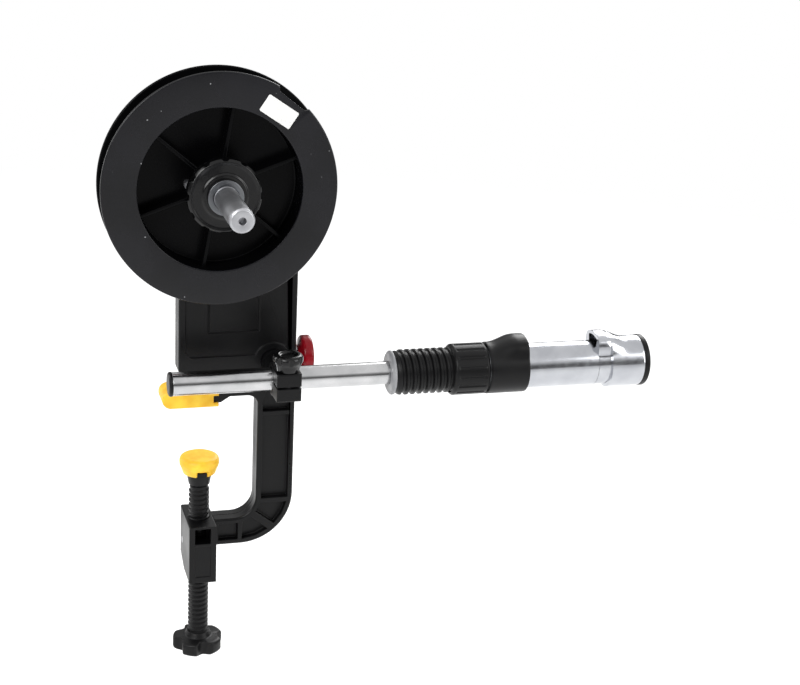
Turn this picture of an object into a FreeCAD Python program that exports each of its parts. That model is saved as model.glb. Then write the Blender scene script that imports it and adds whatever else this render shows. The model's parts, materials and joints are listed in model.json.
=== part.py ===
import FreeCAD, Part
import Sketcher
import math
import os

# Hand-cranked fishing line winder: a C-shaped clamp frame with a gear
# housing on top, a spool spindle in front, a double-knob crank behind, and
# a cross rod that carries a bracket, a steel tube and a reel seat.
# Frame: X along the tube, Y from the spool side (-) to the crank side (+),
# Z up.  The origin is the middle of the fixed jaw's pad, on the clamp screw.

SIZES = dict(
    # C-frame, split in two shells at the plane Y = 0
    frame_right=54.5, frame_width=68.0, shell_depth=7.0, shell_wall=2.5, rim_wall=1.8,
    arch_top=150.8, house_bottom=19.0, house_corner=4.0, seam_height=69.4,
    jaw_under=2.0, jaw_tip=20.8, jaw_tip_top=8.8, jaw_step=9.5, jaw_corner=3.2,
    jaw_throat=5.0,
    spine_width=21.9, throat_radius=6.0, elbow_inner=13.0, elbow_outer=31.0,
    arm_top=72.1, arm_depth=16.5, edge_round=1.4,
    flange=3.0, pocket_depth=4.0, rib=2.5, rib_height=6.4, long_pocket_foot=61.5,
    panel_margin=4.0, panel_depth=1.0, panel_foot=29.8,
    plate_x=3.3, plate_z=43.7, plate_long=29.6, plate_high=21.6, plate_line=0.9, plate_relief=0.5,
    side_slot=2.6, side_slot_depth=3.2,
    # clamp block at the end of the lower arm
    block_half=8.0, block_front=15.5, block_back=18.2, block_foot=108.2, block_toe=14.0,
    window_half=4.6, window_top=73.6, window_foot=83.0, panel_low=104.4,
    # clamp screw, swivel pad and star knob
    screw_radius=6.0, screw_fit=0.08, thread_pitch=3.0, thread_depth=0.8,
    screw_top=51.0, neck_radius=2.6, ball_radius=4.0, ball_fit=0.3,
    pad_radius=11.6, pad_top=33.0, pad_high=10.6, pad_round=2.4,
    cup_top_radius=7.4, cup_foot_radius=6.1, cup_foot=50.6, cup_recess=2.6, cup_tab=6.5,
    star_radius=15.0, star_core=9.6, star_top=149.8, star_high=8.5, star_lobe=9.4, star_neck=3.0,
    # jaw pad
    pad_wall=2.0, pad_side_wall=1.8,
    # quick release lever in the block
    pin_radius=2.0, pin_fit=0.05, pin_y=11.6, pin_z=92.0,
    lever_half=4.2, lever_top=74.6, lever_foot=105.4, lever_gap=0.4, lever_inner=14.4, lever_relief=0.9,
    button_out=7.0, button_top=87.5, spring_radius=2.1, spring_wire=0.5, spring_z=101.0, spring_seat=8.6,
    # gear train
    gear_module=0.8, gear_teeth=72.0, pinion_teeth=13.0, gear_wide=5.0, gear_front=2.0,
    gear_addendum=0.8, gear_backlash=0.14,
    crank_x=18.3, crank_z=105.8, mesh_angle=26.4,
    # spindle and what sits on it
    spindle_radius=6.5, groove_at=59.0, groove_wide=1.2, groove_deep=0.5, spindle_tip=103.1,
    journal_radius=3.2, bush_wall=1.6, bush_land=2.0, run_fit=0.05, bush_seat=2.7, bush_inset=0.9,
    bush_inner=1.1,
    cover_boss=1.4, fixing_post=2.9, fixing_one_x=27.4, fixing_one_z=141.0,
    fixing_two_x=47.3, fixing_two_z=88.7, fixing_three_x=7.2, fixing_three_up=5.6,
    fixing_shank=1.1, fixing_hole=1.35, fixing_pilot=1.15, fixing_reach=2.6, fixing_pilot_deep=3.0,
    fixing_head=2.3, fixing_head_high=1.2, fixing_sink=1.6, fixing_sink_radius=2.5, fixing_slot=0.5,
    bulge_radius=25.0, bulge_high=1.0,
    disc_radius=20.0, disc_thick=3.6, disc_hub=11.0, drive_pin=2.4, drive_pin_ring=15.0,
    drive_pin_length=7.0,
    spool_back=22.4, spool_wide=19.9, spool_radius=63.4, spool_drum=47.0, spool_opening=44.3,
    spool_flange=2.2, spool_web=2.6, spool_hub=12.0, spool_bore_fit=0.12, spool_rib=2.2, spool_ribs=6.0,
    notch_angle=52.0, notch_long=19.0, notch_deep=2.0,
    nut_radius=20.0, nut_front=55.3, nut_thick=7.8, nut_hub=11.5, nut_scallops=12.0, scallop_radius=2.6,
    collar_radius=9.6, collar_long=2.8, collar_split=2.0,
    # crank shaft, star drag and handle
    shaft_radius=4.0, shaft_bush_wall=2.4, shaft_boss=1.5,
    washer_radius=8.0, washer_thick=0.9,
    drag_hub=6.8, drag_hub_long=8.0, drag_reach=29.4, drag_arm_wide=5.0, drag_arm_thick=2.6,
    drag_eye=3.5, drag_eye_hole=1.5, drag_root=5.2, drag_fall=1.8, drag_turn=22.0, drag_fit=0.06,
    sleeve_radius=5.6,
    handle_radius=50.0, handle_tilt=45.0, handle_thick=4.6, handle_hub_y=29.2, handle_end_y=20.7,
    handle_bend_in=12.0, handle_bend_out=34.0, handle_mid_wide=18.0, handle_end_wide=10.5,
    handle_hole=2.3, handle_hole_ring=22.0, handle_hole_ring_two=33.0,
    crown_radius=6.2, crown_high=3.2, crown_dome=4.2, lock_screw_radius=2.6, lock_screw_ring=11.5,
    post_radius=2.5, post_head=4.6, knob_gap=0.4, knob_washer=5.6, knob_washer_thick=0.8,
    knob_long=43.5, knob_neck=6.0, knob_grip=8.7, knob_swell=12.2, knob_cap=6.6, knob_cap_depth=1.2,
    # cross rod, its thumb screw and the bracket
    rod_x=40.8, rod_z=26.0, rod_radius=6.6, rod_front=27.5, rod_back=38.2, rod_fit=0.08, rod_boss=10.8,
    boss_proud=1.2, rod_plug=1.5,
    thumb_shank=3.0, thumb_fit=0.06, thumb_knob_radius=11.7, thumb_knob_thick=8.4, thumb_knob_gap=1.6,
    thumb_dish=9.2, thumb_dish_depth=1.4, thumb_tip_long=3.0,
    tube_y=36.0, bracket_wide=14.0, bracket_ring=9.3, ear_reach=16.5, ear_half=8.2, bracket_slit=1.2,
    bracket_tail=17.0, bracket_tail_radius=8.8, bracket_screw=2.5, bracket_screw_y=10.6,
    bracket_screw_fit=0.06,
    bracket_knob_radius=8.5, bracket_knob_high=9.8, bracket_nut=4.0, bracket_nut_high=3.2,
    # steel tube and reel seat
    tube_radius=6.6, tube_wall=1.0, tube_left=21.7, tube_in_seat=72.9, plug_rim=1.3, plug_depth=10.0,
    seat_left=103.6, ring_left=101.4, ring_radius=12.6, barrel_radius=13.0, barrel_root=11.8,
    barrel_pitch=4.0, nut_left=137.4, nut_right=158.6, lock_radius=14.8, lock_flutes=16.0,
    barrel_right=158.0, seat_right=253.2, seat_wall=1.2, bush_long=12.0, hood_fit=0.08,
    hood_right=182.0, hood_wall=2.0, hood_rise=6.0, hood_mouth=14.0,
    fixed_left=233.0, fixed_radius=14.9, cap_thick=3.8, cap_radius=15.1,
)


class Size:
    """A length that carries its value and the sheet expression behind it."""

    def __init__(self, value, text):
        self.value = float(value)
        self.text = text

    def _other(self, other):
        if isinstance(other, Size):
            return other
        return Size(other, repr(float(other)))

    def __add__(self, other):
        o = self._other(other)
        return Size(self.value + o.value, "(%s + %s)" % (self.text, o.text))

    def __radd__(self, other):
        return self._other(other) + self

    def __sub__(self, other):
        o = self._other(other)
        return Size(self.value - o.value, "(%s - %s)" % (self.text, o.text))

    def __rsub__(self, other):
        return self._other(other) - self

    def __mul__(self, other):
        o = self._other(other)
        return Size(self.value * o.value, "(%s * %s)" % (self.text, o.text))

    def __rmul__(self, other):
        return self._other(other) * self

    def __truediv__(self, other):
        o = self._other(other)
        return Size(self.value / o.value, "(%s / %s)" % (self.text, o.text))

    def __neg__(self):
        return Size(-self.value, "(0 - %s)" % self.text)


def as_size(v):
    return v if isinstance(v, Size) else Size(v, repr(float(v)))


def sine(a):
    a = as_size(a)
    return Size(math.sin(math.radians(a.value)), "sin(%s)" % a.text)


def cosine(a):
    a = as_size(a)
    return Size(math.cos(math.radians(a.value)), "cos(%s)" % a.text)


doc = FreeCAD.newDocument("line_winder")
sheet = doc.addObject("Spreadsheet::Sheet", "spec")
sheet.Label = "spec"
for row, (name, number) in enumerate(SIZES.items(), start=1):
    sheet.set("A%d" % row, name)
    sheet.set("B%d" % row, repr(float(number)))
    sheet.setAlias("B%d" % row, name)
doc.recompute()


class Spec:
    """Every driving size by name, read back from the sheet."""

    def __getattr__(self, name):
        return Size(float(getattr(sheet, name)), "spec." + name)


S = Spec()
NODES = []
V3 = FreeCAD.Vector
TURN = {
    "+X": FreeCAD.Rotation(V3(0, 1, 0), 90),
    "+Y": FreeCAD.Rotation(V3(1, 0, 0), -90),
    "+Z": FreeCAD.Rotation(),
    "-Y": FreeCAD.Rotation(V3(1, 0, 0), 90),
    "-Z": FreeCAD.Rotation(V3(1, 0, 0), 180),
}


def place(obj, pos, rotation=None):
    if rotation is not None:
        obj.Placement = FreeCAD.Placement(V3(), rotation)
    for letter, v in zip("xyz", pos):
        obj.setExpression("Placement.Base." + letter, as_size(v).text)


def new_body(name, pos=(0, 0, 0), rotation=None):
    body = doc.addObject("PartDesign::Body", name)
    body.Label = name
    place(body, pos, rotation)
    NODES.append((name, body))
    return body


def plane(body, role):
    for feature in body.Origin.OriginFeatures:
        if feature.Role == role:
            return feature
    raise ValueError("no origin feature " + role)


def sketch_on(body, role, name, offset=None):
    sk = body.newObject("Sketcher::SketchObject", name)
    sk.AttachmentSupport = [(plane(body, role), "")]
    sk.MapMode = "FlatFace"
    if offset is not None:
        sk.AttachmentOffset = FreeCAD.Placement(V3(0, 0, as_size(offset).value), FreeCAD.Rotation())
        sk.setExpression("AttachmentOffset.Base.z", as_size(offset).text)
    return sk


def bind(sk, index, size):
    sk.setExpression("Constraints[%d]" % index, as_size(size).text)


def pin_point(sk, geo, pos, x, y):
    for kind, v in (("DistanceX", as_size(x)), ("DistanceY", as_size(y))):
        if abs(v.value) < 1e-9:
            axis = -2 if kind == "DistanceX" else -1
            sk.addConstraint(Sketcher.Constraint("PointOnObject", geo, pos, axis))
        else:
            n = sk.addConstraint(Sketcher.Constraint(kind, -1, 1, geo, pos, v.value))
            bind(sk, n, v)


def draw(sk, points):
    """Closed outline.  Each point is (x, y) for a straight edge to the next
    point, or (x, y, (cx, cy), turn) for an arc about (cx, cy)."""
    n = len(points)
    ids = []
    for i, p in enumerate(points):
        q = points[(i + 1) % n]
        a = V3(as_size(p[0]).value, as_size(p[1]).value, 0)
        b = V3(as_size(q[0]).value, as_size(q[1]).value, 0)
        if len(p) == 2:
            ids.append((sk.addGeometry(Part.LineSegment(a, b)), 1, 2))
        else:
            c = V3(as_size(p[2][0]).value, as_size(p[2][1]).value, 0)
            r = ((a - c).Length + (b - c).Length) / 2
            t0 = math.atan2(a.y - c.y, a.x - c.x)
            t1 = math.atan2(b.y - c.y, b.x - c.x)
            if p[3] < 0:
                t0, t1 = t1, t0
            while t1 <= t0:
                t1 += 2 * math.pi
            arc = Part.ArcOfCircle(Part.Circle(c, V3(0, 0, 1), r), t0, t1)
            ends = (1, 2) if p[3] > 0 else (2, 1)
            ids.append((sk.addGeometry(arc), ends[0], ends[1]))
    for i in range(n):
        g, s, e = ids[i]
        h, s2 = ids[(i + 1) % n][:2]
        sk.addConstraint(Sketcher.Constraint("Coincident", g, e, h, s2))
    for i, p in enumerate(points):
        q = points[(i + 1) % n]
        g, s, e = ids[i]
        pin_point(sk, g, s, p[0], p[1])
        if len(p) > 2:
            dx = abs(as_size(q[0]).value - as_size(p[0]).value)
            dy = abs(as_size(q[1]).value - as_size(p[1]).value)
            kind, v = ("DistanceY", as_size(p[2][1])) if dx > dy else ("DistanceX", as_size(p[2][0]))
            if abs(v.value) < 1e-9:
                axis = -1 if kind == "DistanceY" else -2
                sk.addConstraint(Sketcher.Constraint("PointOnObject", g, 3, axis))
            else:
                k = sk.addConstraint(Sketcher.Constraint(kind, -1, 1, g, 3, v.value))
                bind(sk, k, v)


def draw_circle(sk, x, y, r):
    x, y, r = as_size(x), as_size(y), as_size(r)
    g = sk.addGeometry(Part.Circle(V3(x.value, y.value, 0), V3(0, 0, 1), r.value))
    n = sk.addConstraint(Sketcher.Constraint("Radius", g, r.value))
    bind(sk, n, r)
    if abs(x.value) < 1e-9 and abs(y.value) < 1e-9:
        sk.addConstraint(Sketcher.Constraint("Coincident", g, 3, -1, 1))
    else:
        pin_point(sk, g, 3, x, y)


def finish(body, feature):
    body.Tip = feature
    return feature


def pad(body, sk, length, reverse=False, both=False):
    f = body.newObject("PartDesign::Pad", "pad")
    f.Profile = sk
    f.Length = as_size(length).value
    f.setExpression("Length", as_size(length).text)
    f.Reversed = reverse
    f.Midplane = both
    return finish(body, f)


def pocket(body, sk, length, reverse=False, both=False):
    f = body.newObject("PartDesign::Pocket", "pocket")
    f.Profile = sk
    f.Length = as_size(length).value
    f.setExpression("Length", as_size(length).text)
    f.Reversed = reverse
    f.Midplane = both
    return finish(body, f)


def spin(body, sk, axis="V_Axis"):
    f = body.newObject("PartDesign::Revolution", "turned")
    f.Profile = sk
    f.ReferenceAxis = (sk, [axis])
    f.Angle = 360
    return finish(body, f)


def lathe(body, points, axis="Y"):
    """Turned form: points are (radius, station) about Y or Z, or
    (station, radius) about X."""
    role = {"Y": "XY_Plane", "Z": "XZ_Plane", "X": "XY_Plane"}[axis]
    sk = sketch_on(body, role, "outline")
    draw(sk, points)
    return spin(body, sk, "H_Axis" if axis == "X" else "V_Axis")


def cylinder(body, kind, axis, pos, r, length):
    f = body.newObject("PartDesign::%sCylinder" % kind, "round")
    place(f, pos, TURN[axis])
    f.Radius = as_size(r).value
    f.setExpression("Radius", as_size(r).text)
    f.Height = as_size(length).value
    f.setExpression("Height", as_size(length).text)
    return finish(body, f)


def block(body, kind, pos, size, rotation=None):
    f = body.newObject("PartDesign::%sBox" % kind, "block")
    place(f, pos, rotation)
    for prop, v in zip(("Length", "Width", "Height"), size):
        setattr(f, prop, as_size(v).value)
        f.setExpression(prop, as_size(v).text)
    return finish(body, f)


def around(body, feature, axis_role, count):
    f = body.newObject("PartDesign::PolarPattern", "ring")
    f.Originals = [feature]
    f.Axis = (plane(body, axis_role), [""])
    f.Angle = 360
    f.Occurrences = int(round(as_size(count).value))
    if isinstance(count, Size):
        f.setExpression("Occurrences", count.text)
    return finish(body, f)


def along(body, feature, axis_role, pitch, count, backwards=False):
    f = body.newObject("PartDesign::LinearPattern", "row")
    f.Originals = [feature]
    f.Direction = (plane(body, axis_role), [""])
    f.Reversed = backwards
    f.Occurrences = count
    f.Length = as_size(pitch).value * (count - 1)
    f.setExpression("Length", "%s * %d" % (as_size(pitch).text, count - 1))
    return finish(body, f)


def soften(body, radius, wanted, kind="Fillet"):
    doc.recompute()
    tip = body.Tip
    names = ["Edge%d" % (i + 1) for i, e in enumerate(tip.Shape.Edges) if wanted(e)]
    if not names:
        raise ValueError("no edge to soften on " + body.Label)
    f = body.newObject("PartDesign::" + kind, "softened")
    f.Base = (tip, names)
    prop = "Radius" if kind == "Fillet" else "Size"
    setattr(f, prop, as_size(radius).value)
    f.setExpression(prop, as_size(radius).text)
    return finish(body, f)


def solid_piece(name, shape, pos=(0, 0, 0), rotation=None):
    f = doc.addObject("Part::Feature", name)
    f.Label = name
    f.Shape = shape
    place(f, pos, rotation or FreeCAD.Rotation())
    NODES.append((name, f))
    return f


def group(name, members):
    f = doc.addObject("Part::Compound", name)
    f.Label = name
    f.Links = members
    NODES.append((name, f))
    return f


def part_cylinder(axis, pos, r, length):
    f = doc.addObject("Part::Cylinder", "rod")
    place(f, pos, TURN[axis])
    f.setExpression("Radius", as_size(r).text)
    f.setExpression("Height", as_size(length).text)
    return f


def part_cut(base, tool):
    f = doc.addObject("Part::Cut", "cut")
    f.Base = base
    f.Tool = tool
    return f


def part_fuse(members):
    f = doc.addObject("Part::MultiFuse", "joined")
    f.Shapes = members
    return f


def ring_solid(axis, pos, r_out, r_in, length):
    outer = part_cylinder(axis, pos, r_out, length)
    inner = part_cylinder(axis, pos, r_in, length)
    return part_cut(outer, inner)


# Derived places, all from the named sizes
right = S.frame_right
left = right - S.frame_width
arch_radius = S.frame_width / 2
arch_x = right - arch_radius
arch_z = S.arch_top - arch_radius
spine = right - S.spine_width
arm_top = -S.arm_top
arm_foot = -(S.arm_top + S.arm_depth)
tip = -S.jaw_tip
centre_distance = S.gear_module * (S.gear_teeth + S.pinion_teeth) / 2
spindle_x = S.crank_x - centre_distance * sine(S.mesh_angle)
spindle_z = S.crank_z + centre_distance * cosine(S.mesh_angle)
elbow_x = right - S.elbow_outer
elbow_z = arm_foot + S.elbow_outer
inner_x = spine - S.elbow_inner
inner_z = arm_top + S.elbow_inner
cover_screws = [(S.fixing_one_x, S.fixing_one_z), (S.fixing_two_x, S.fixing_two_z),
                (S.fixing_three_x, S.seam_height + S.fixing_three_up)]


def frame_outline(top=None):
    """C-frame outline, seen with X right and Z up, counter-clockwise."""
    hc, jc, tr = S.house_corner, S.jaw_corner, S.throat_radius
    pts = [
        (left, S.house_bottom + hc, (left + hc, S.house_bottom + hc), 1),
        (left + hc, S.house_bottom),
        (S.jaw_step, S.house_bottom),
        (S.jaw_step, S.jaw_tip_top),
        (tip + jc, S.jaw_tip_top, (tip + jc, S.jaw_tip_top - jc), 1),
        (tip, S.jaw_tip_top - jc),
        (tip, S.jaw_under + jc, (tip + jc, S.jaw_under + jc), 1),
        (tip + jc, S.jaw_under),
        (S.jaw_step + 1.5, S.jaw_under),
        (S.jaw_step + 6, S.jaw_throat),
        (spine - tr, S.jaw_throat, (spine - tr, S.jaw_throat - tr), -1),
        (spine, S.jaw_throat - tr),
        (spine, inner_z, (inner_x, inner_z), -1),
        (inner_x, arm_top),
        (S.block_half, arm_top),
        (S.block_half, arm_foot),
        (elbow_x, arm_foot, (elbow_x, elbow_z), 1),
        (right, elbow_z),
    ]
    if top is None:
        pts += [(right, arch_z, (arch_x, arch_z), 1), (left, arch_z)]
    else:
        pts += [(right, top), (left, top)]
    return pts


def polar(cx, cz, r, angle):
    return (cx + r * cosine(angle), cz + r * sine(angle))


def frame_pockets(body, face_role, reverse):
    """Weight pockets between the flanges and ribs of the spine and arm."""
    x0, x1 = spine + S.flange, right - S.flange
    half = S.rib / 2
    outer, inner = S.elbow_outer - S.flange, S.elbow_inner + S.flange
    shapes = [
        [(x0, -S.long_pocket_foot + half), (x1, -S.long_pocket_foot + half),
         (x1, -S.rib_height - half), (x0, -S.rib_height - half)],
        [(x0, -S.rib_height + half), (x1, -S.rib_height + half),
         (x1, S.rod_z - S.rod_boss - 0.8), (x0 + 4, S.rod_z - S.rod_boss - 0.8), (x0, S.jaw_under)],
        [polar(inner_x, inner_z, inner, -14), polar(inner_x, inner_z, inner, -36),
         polar(elbow_x, elbow_z, outer, -44), polar(elbow_x, elbow_z, outer, -28),
         polar(elbow_x, elbow_z, outer, -12)],
        [polar(inner_x, inner_z, inner, -50), polar(inner_x, inner_z, inner, -70),
         (elbow_x + 1, arm_foot + S.flange), polar(elbow_x, elbow_z, outer, -70),
         polar(elbow_x, elbow_z, outer, -54)],
        [(S.block_half + 2.5, arm_top - S.flange), (S.block_half + 2.5, arm_foot + S.flange),
         (elbow_x - 1.5, arm_foot + S.flange), (elbow_x - 1.5, arm_top - S.flange)],
    ]
    for shape in shapes:
        offset = S.shell_depth
        sk = sketch_on(body, "XZ_Plane", "pocket_outline", offset if not reverse else -offset)
        draw(sk, shape)
        pocket(body, sk, S.pocket_depth, reverse)


def y_face(sign):
    def test(edge):
        level = sign * S.shell_depth.value
        return all(abs(v.Point.y - level) < 1e-4 for v in edge.Vertexes)
    return test


def outline_edges(sign, lowest, highest):
    """Edges of the outer face that follow the outer outline."""
    face = y_face(sign)

    def test(edge):
        if not face(edge) or len(edge.Vertexes) < 2:
            return False
        m = edge.valueAt((edge.FirstParameter + edge.LastParameter) / 2)
        x, z = m.x, m.z
        if z < lowest or z > highest:
            return False
        on_left = abs(x - left.value) < 1e-3
        on_right = abs(x - right.value) < 1e-3
        on_arch = abs(math.hypot(x - arch_x.value,
                                 z - arch_z.value) - arch_radius.value) < 1e-2 and z > arch_z.value
        low = math.hypot(x - elbow_x.value, z - elbow_z.value)
        on_elbow = abs(low - S.elbow_outer.value) < 1e-2 and z < elbow_z.value and x > elbow_x.value
        on_throat = abs(x - spine.value) < 1e-3 and z < S.jaw_under.value
        return on_left or on_right or on_arch or on_elbow or on_throat
    return test


# Front shell of the frame and housing
front = new_body("front_frame")
sk = sketch_on(front, "XZ_Plane", "c_outline")
draw(sk, frame_outline())
pad(front, sk, S.shell_depth)
soften(front, S.edge_round, outline_edges(-1, -200, 300))
frame_pockets(front, "XZ_Plane", False)
# shallow panel on the front face
m = S.panel_margin
sk = sketch_on(front, "XZ_Plane", "panel", S.shell_depth)
draw(sk, [(left + m, S.panel_foot + m, (left + m + m, S.panel_foot + m), 1), (left + m + m, S.panel_foot),
          (right - m - m, S.panel_foot, (right - m - m, S.panel_foot + m), 1),
          (right - m, S.panel_foot + m),
          (right - m, arch_z, (arch_x, arch_z), 1), (left + m, arch_z)])
pocket(front, sk, S.panel_depth)
# embossed plate outline
sk = sketch_on(front, "XZ_Plane", "plate", S.shell_depth - S.panel_depth)
px, pz, pl, ph, pw = S.plate_x, S.plate_z, S.plate_long, S.plate_high, S.plate_line
draw(sk, [(px, pz), (px + pl, pz), (px + pl, pz + ph), (px, pz + ph)])
draw(sk, [(px + pw, pz + pw), (px + pl - pw, pz + pw), (px + pl - pw, pz + ph - pw),
          (px + pw, pz + ph - pw)])
pocket(front, sk, S.plate_relief)
# gear cavity
w = S.shell_wall
rim = S.rim_wall
sk = sketch_on(front, "XZ_Plane", "cavity")
draw(sk, [(left + rim, S.seam_height + rim), (right - rim, S.seam_height + rim),
          (right - rim, arch_z, (arch_x, arch_z), 1), (left + rim, arch_z)])
pocket(front, sk, S.shell_depth - S.panel_depth - w, True)
cavity_floor = -(S.shell_depth - S.panel_depth - w)
cylinder(front, "Additive", "+Y", (spindle_x, -S.shell_depth, spindle_z),
         S.journal_radius + S.run_fit + S.bush_wall + S.bush_land, S.shell_depth - S.bush_seat)
cylinder(front, "Additive", "+Y", (S.crank_x, cavity_floor, S.crank_z),
         S.shaft_radius + S.run_fit + S.shaft_bush_wall + 2, -S.bush_seat - cavity_floor)
cylinder(front, "Additive", "+Y", (S.rod_x, -S.shell_depth, S.rod_z), S.rod_boss, S.shell_depth)
for sx, sz in cover_screws:
    cylinder(front, "Additive", "+Y", (sx, cavity_floor, sz), S.fixing_post, -cavity_floor)
for sx, sz in cover_screws:
    cylinder(front, "Subtractive", "+Y", (sx, -S.fixing_pilot_deep, sz), S.fixing_pilot,
             S.fixing_pilot_deep)
cylinder(front, "Subtractive", "+Y", (spindle_x, -S.shell_depth - 1, spindle_z),
         S.journal_radius + S.run_fit + S.bush_wall, S.shell_depth + 2)
cylinder(front, "Subtractive", "+Y", (S.crank_x, -S.shell_depth + S.panel_depth + 1.2, S.crank_z),
         S.shaft_radius + S.run_fit + S.shaft_bush_wall, S.shell_depth)
cylinder(front, "Subtractive", "+Y", (S.rod_x, -S.shell_depth - 1, S.rod_z),
         S.rod_radius + S.rod_fit, S.shell_depth + 2)
cylinder(front, "Subtractive", "+X", (S.rod_x, 0, S.rod_z), S.thumb_shank + S.thumb_fit,
         right - S.rod_x + 1)

# Rear shell, below the seam, with the clamp block
rear = new_body("rear_frame")
sk = sketch_on(rear, "XZ_Plane", "c_outline")
draw(sk, frame_outline(S.seam_height))
pad(rear, sk, S.shell_depth, True)
soften(rear, S.edge_round, outline_edges(1, -200, 300))
frame_pockets(rear, "XZ_Plane", True)
sk = sketch_on(rear, "XZ_Plane", "panel", -S.shell_depth)
draw(sk, [(left + m, S.panel_foot + m, (left + m + m, S.panel_foot + m), 1), (left + m + m, S.panel_foot),
          (right - m - m, S.panel_foot, (right - m - m, S.panel_foot + m), 1),
          (right - m, S.panel_foot + m),
          (right - m, S.seam_height - w), (left + m, S.seam_height - w)])
pocket(rear, sk, S.panel_depth, True)
sk = sketch_on(rear, "XZ_Plane", "plate", S.panel_depth - S.shell_depth)
draw(sk, [(px, pz), (px + pl, pz), (px + pl, pz + ph), (px, pz + ph)])
draw(sk, [(px + pw, pz + pw), (px + pl - pw, pz + pw), (px + pl - pw, pz + ph - pw),
          (px + pw, pz + ph - pw)])
pocket(rear, sk, S.plate_relief, True)
block(rear, "Subtractive", (left + m, S.shell_depth - S.side_slot_depth, S.panel_foot + m),
      (S.side_slot, S.side_slot_depth + 1, S.seam_height - w - S.panel_foot - m))
cylinder(rear, "Additive", "+Y", (S.rod_x, 0, S.rod_z), S.rod_boss, S.shell_depth + S.boss_proud)
# block with a chamfered toe
sk = sketch_on(rear, "YZ_Plane", "block_side", -S.block_half)
draw(sk, [(-S.block_front, arm_top), (-S.block_front, -S.block_foot),
          (S.block_back - S.block_toe, -S.block_foot),
          (S.block_back, -S.block_foot + 6), (S.block_back, arm_top)])
pad(rear, sk, 2 * S.block_half)
soften(rear, 0.8, lambda e: e.Curve.TypeId == "Part::GeomLine" and len(e.Vertexes) == 2 and all(
    abs(v.X + S.block_half.value) < 1e-4 for v in e.Vertexes) and e.BoundBox.ZMax < arm_top.value + 1e-3)
cylinder(rear, "Subtractive", "+Z", (0, 0, -S.block_foot - 1), S.screw_radius + S.screw_fit,
         S.block_foot - S.arm_top + 2)
# front window and shallow panel below it
block(rear, "Subtractive", (-S.window_half, -S.block_front - 1, -S.window_foot),
      (2 * S.window_half, S.block_front + 1 - S.screw_radius + 1, S.window_foot - S.window_top))
block(rear, "Subtractive", (-S.window_half, -S.block_front - 1, -S.panel_low),
      (2 * S.window_half, 1.6, S.panel_low - S.window_foot - 1.6))
# lever cavity open to the back: deep beside the screw, shallow at the spring
cavity_half = S.lever_half + S.lever_gap
block(rear, "Subtractive", (-cavity_half, S.screw_radius - 2, -S.spring_z + S.spring_radius + 1),
      (2 * cavity_half, S.block_back - S.screw_radius + 3,
       S.spring_z - S.spring_radius - 1 - S.lever_top + S.lever_gap))
block(rear, "Subtractive", (-cavity_half, S.spring_seat, -S.lever_foot - S.lever_gap),
      (2 * cavity_half, S.block_back - S.spring_seat + 1,
       S.lever_foot - S.spring_z + S.spring_radius + 1 + S.lever_gap + 0.5))
# side relief on the frame side of the block, under the arm
block(rear, "Subtractive", (S.block_half - 1.2, S.shell_depth + 1.5, -S.pin_z + 5),
      (2, S.block_back - S.shell_depth - 4, S.pin_z - 5 - S.arm_top - 2.5))
cylinder(rear, "Subtractive", "+X", (-S.block_half - 1, S.pin_y, -S.pin_z), S.pin_radius,
         2 * S.block_half + 2)
cylinder(rear, "Subtractive", "+Y", (S.rod_x, -1, S.rod_z), S.rod_radius + S.rod_fit,
         S.shell_depth + S.boss_proud + 2)
cylinder(rear, "Subtractive", "+X", (S.rod_x, 0, S.rod_z), S.thumb_shank + S.thumb_fit, right - S.rod_x + 1)

# Gear cover, above the seam
cover = new_body("gear_cover")
sk = sketch_on(cover, "XZ_Plane", "cover_outline")
draw(sk, [(left, S.seam_height), (right, S.seam_height), (right, arch_z, (arch_x, arch_z), 1),
          (left, arch_z)])
pad(cover, sk, S.shell_depth, True)
soften(cover, S.edge_round, outline_edges(1, -200, 300))
sk = sketch_on(cover, "XZ_Plane", "cavity")
draw(sk, [(left + rim, S.seam_height + rim), (right - rim, S.seam_height + rim),
          (right - rim, arch_z, (arch_x, arch_z), 1), (left + rim, arch_z)])
pocket(cover, sk, S.shell_depth - w)
cover_in = S.shell_depth - w
cylinder(cover, "Additive", "+Y", (spindle_x, cover_in - S.bush_inner, spindle_z),
         S.journal_radius + S.run_fit + S.bush_wall + S.bush_land, w + S.bush_inner + S.cover_boss)
cylinder(cover, "Additive", "+Y", (S.crank_x, cover_in - S.bush_inner, S.crank_z),
         S.shaft_radius + S.run_fit + S.shaft_bush_wall + 2.4, w + S.bush_inner + S.shaft_boss)
# low raised ring over the gear
sk = sketch_on(cover, "XY_Plane", "gear_bulge", S.crank_z)
draw(sk, [(S.crank_x, S.shell_depth - 0.5), (S.crank_x + S.bulge_radius, S.shell_depth - 0.5),
          (S.crank_x + S.bulge_radius - 3, S.shell_depth + S.bulge_high),
          (S.crank_x, S.shell_depth + S.bulge_high)])
f = cover.newObject("PartDesign::Revolution", "bulge")
f.Profile = sk
line = sk.addGeometry(Part.LineSegment(V3(S.crank_x.value, -10, 0), V3(S.crank_x.value, 10, 0)), True)
pin_point(sk, line, 1, S.crank_x, -10)
pin_point(sk, line, 2, S.crank_x, 10)
f.ReferenceAxis = (sk, ["Axis0"])
f.Angle = 360
finish(cover, f)
for sx, sz in cover_screws:
    cylinder(cover, "Additive", "+Y", (sx, 0, sz), S.fixing_post, cover_in)
for sx, sz in cover_screws:
    cylinder(cover, "Subtractive", "+Y", (sx, -1, sz), S.fixing_hole, S.shell_depth + 2)
    cylinder(cover, "Subtractive", "+Y", (sx, S.shell_depth - S.fixing_sink, sz), S.fixing_sink_radius, 3)
cylinder(cover, "Subtractive", "+Y", (spindle_x, -1, spindle_z),
         S.journal_radius + S.run_fit + S.bush_wall, 1 + S.shell_depth + S.cover_boss - S.bush_inset)
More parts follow.
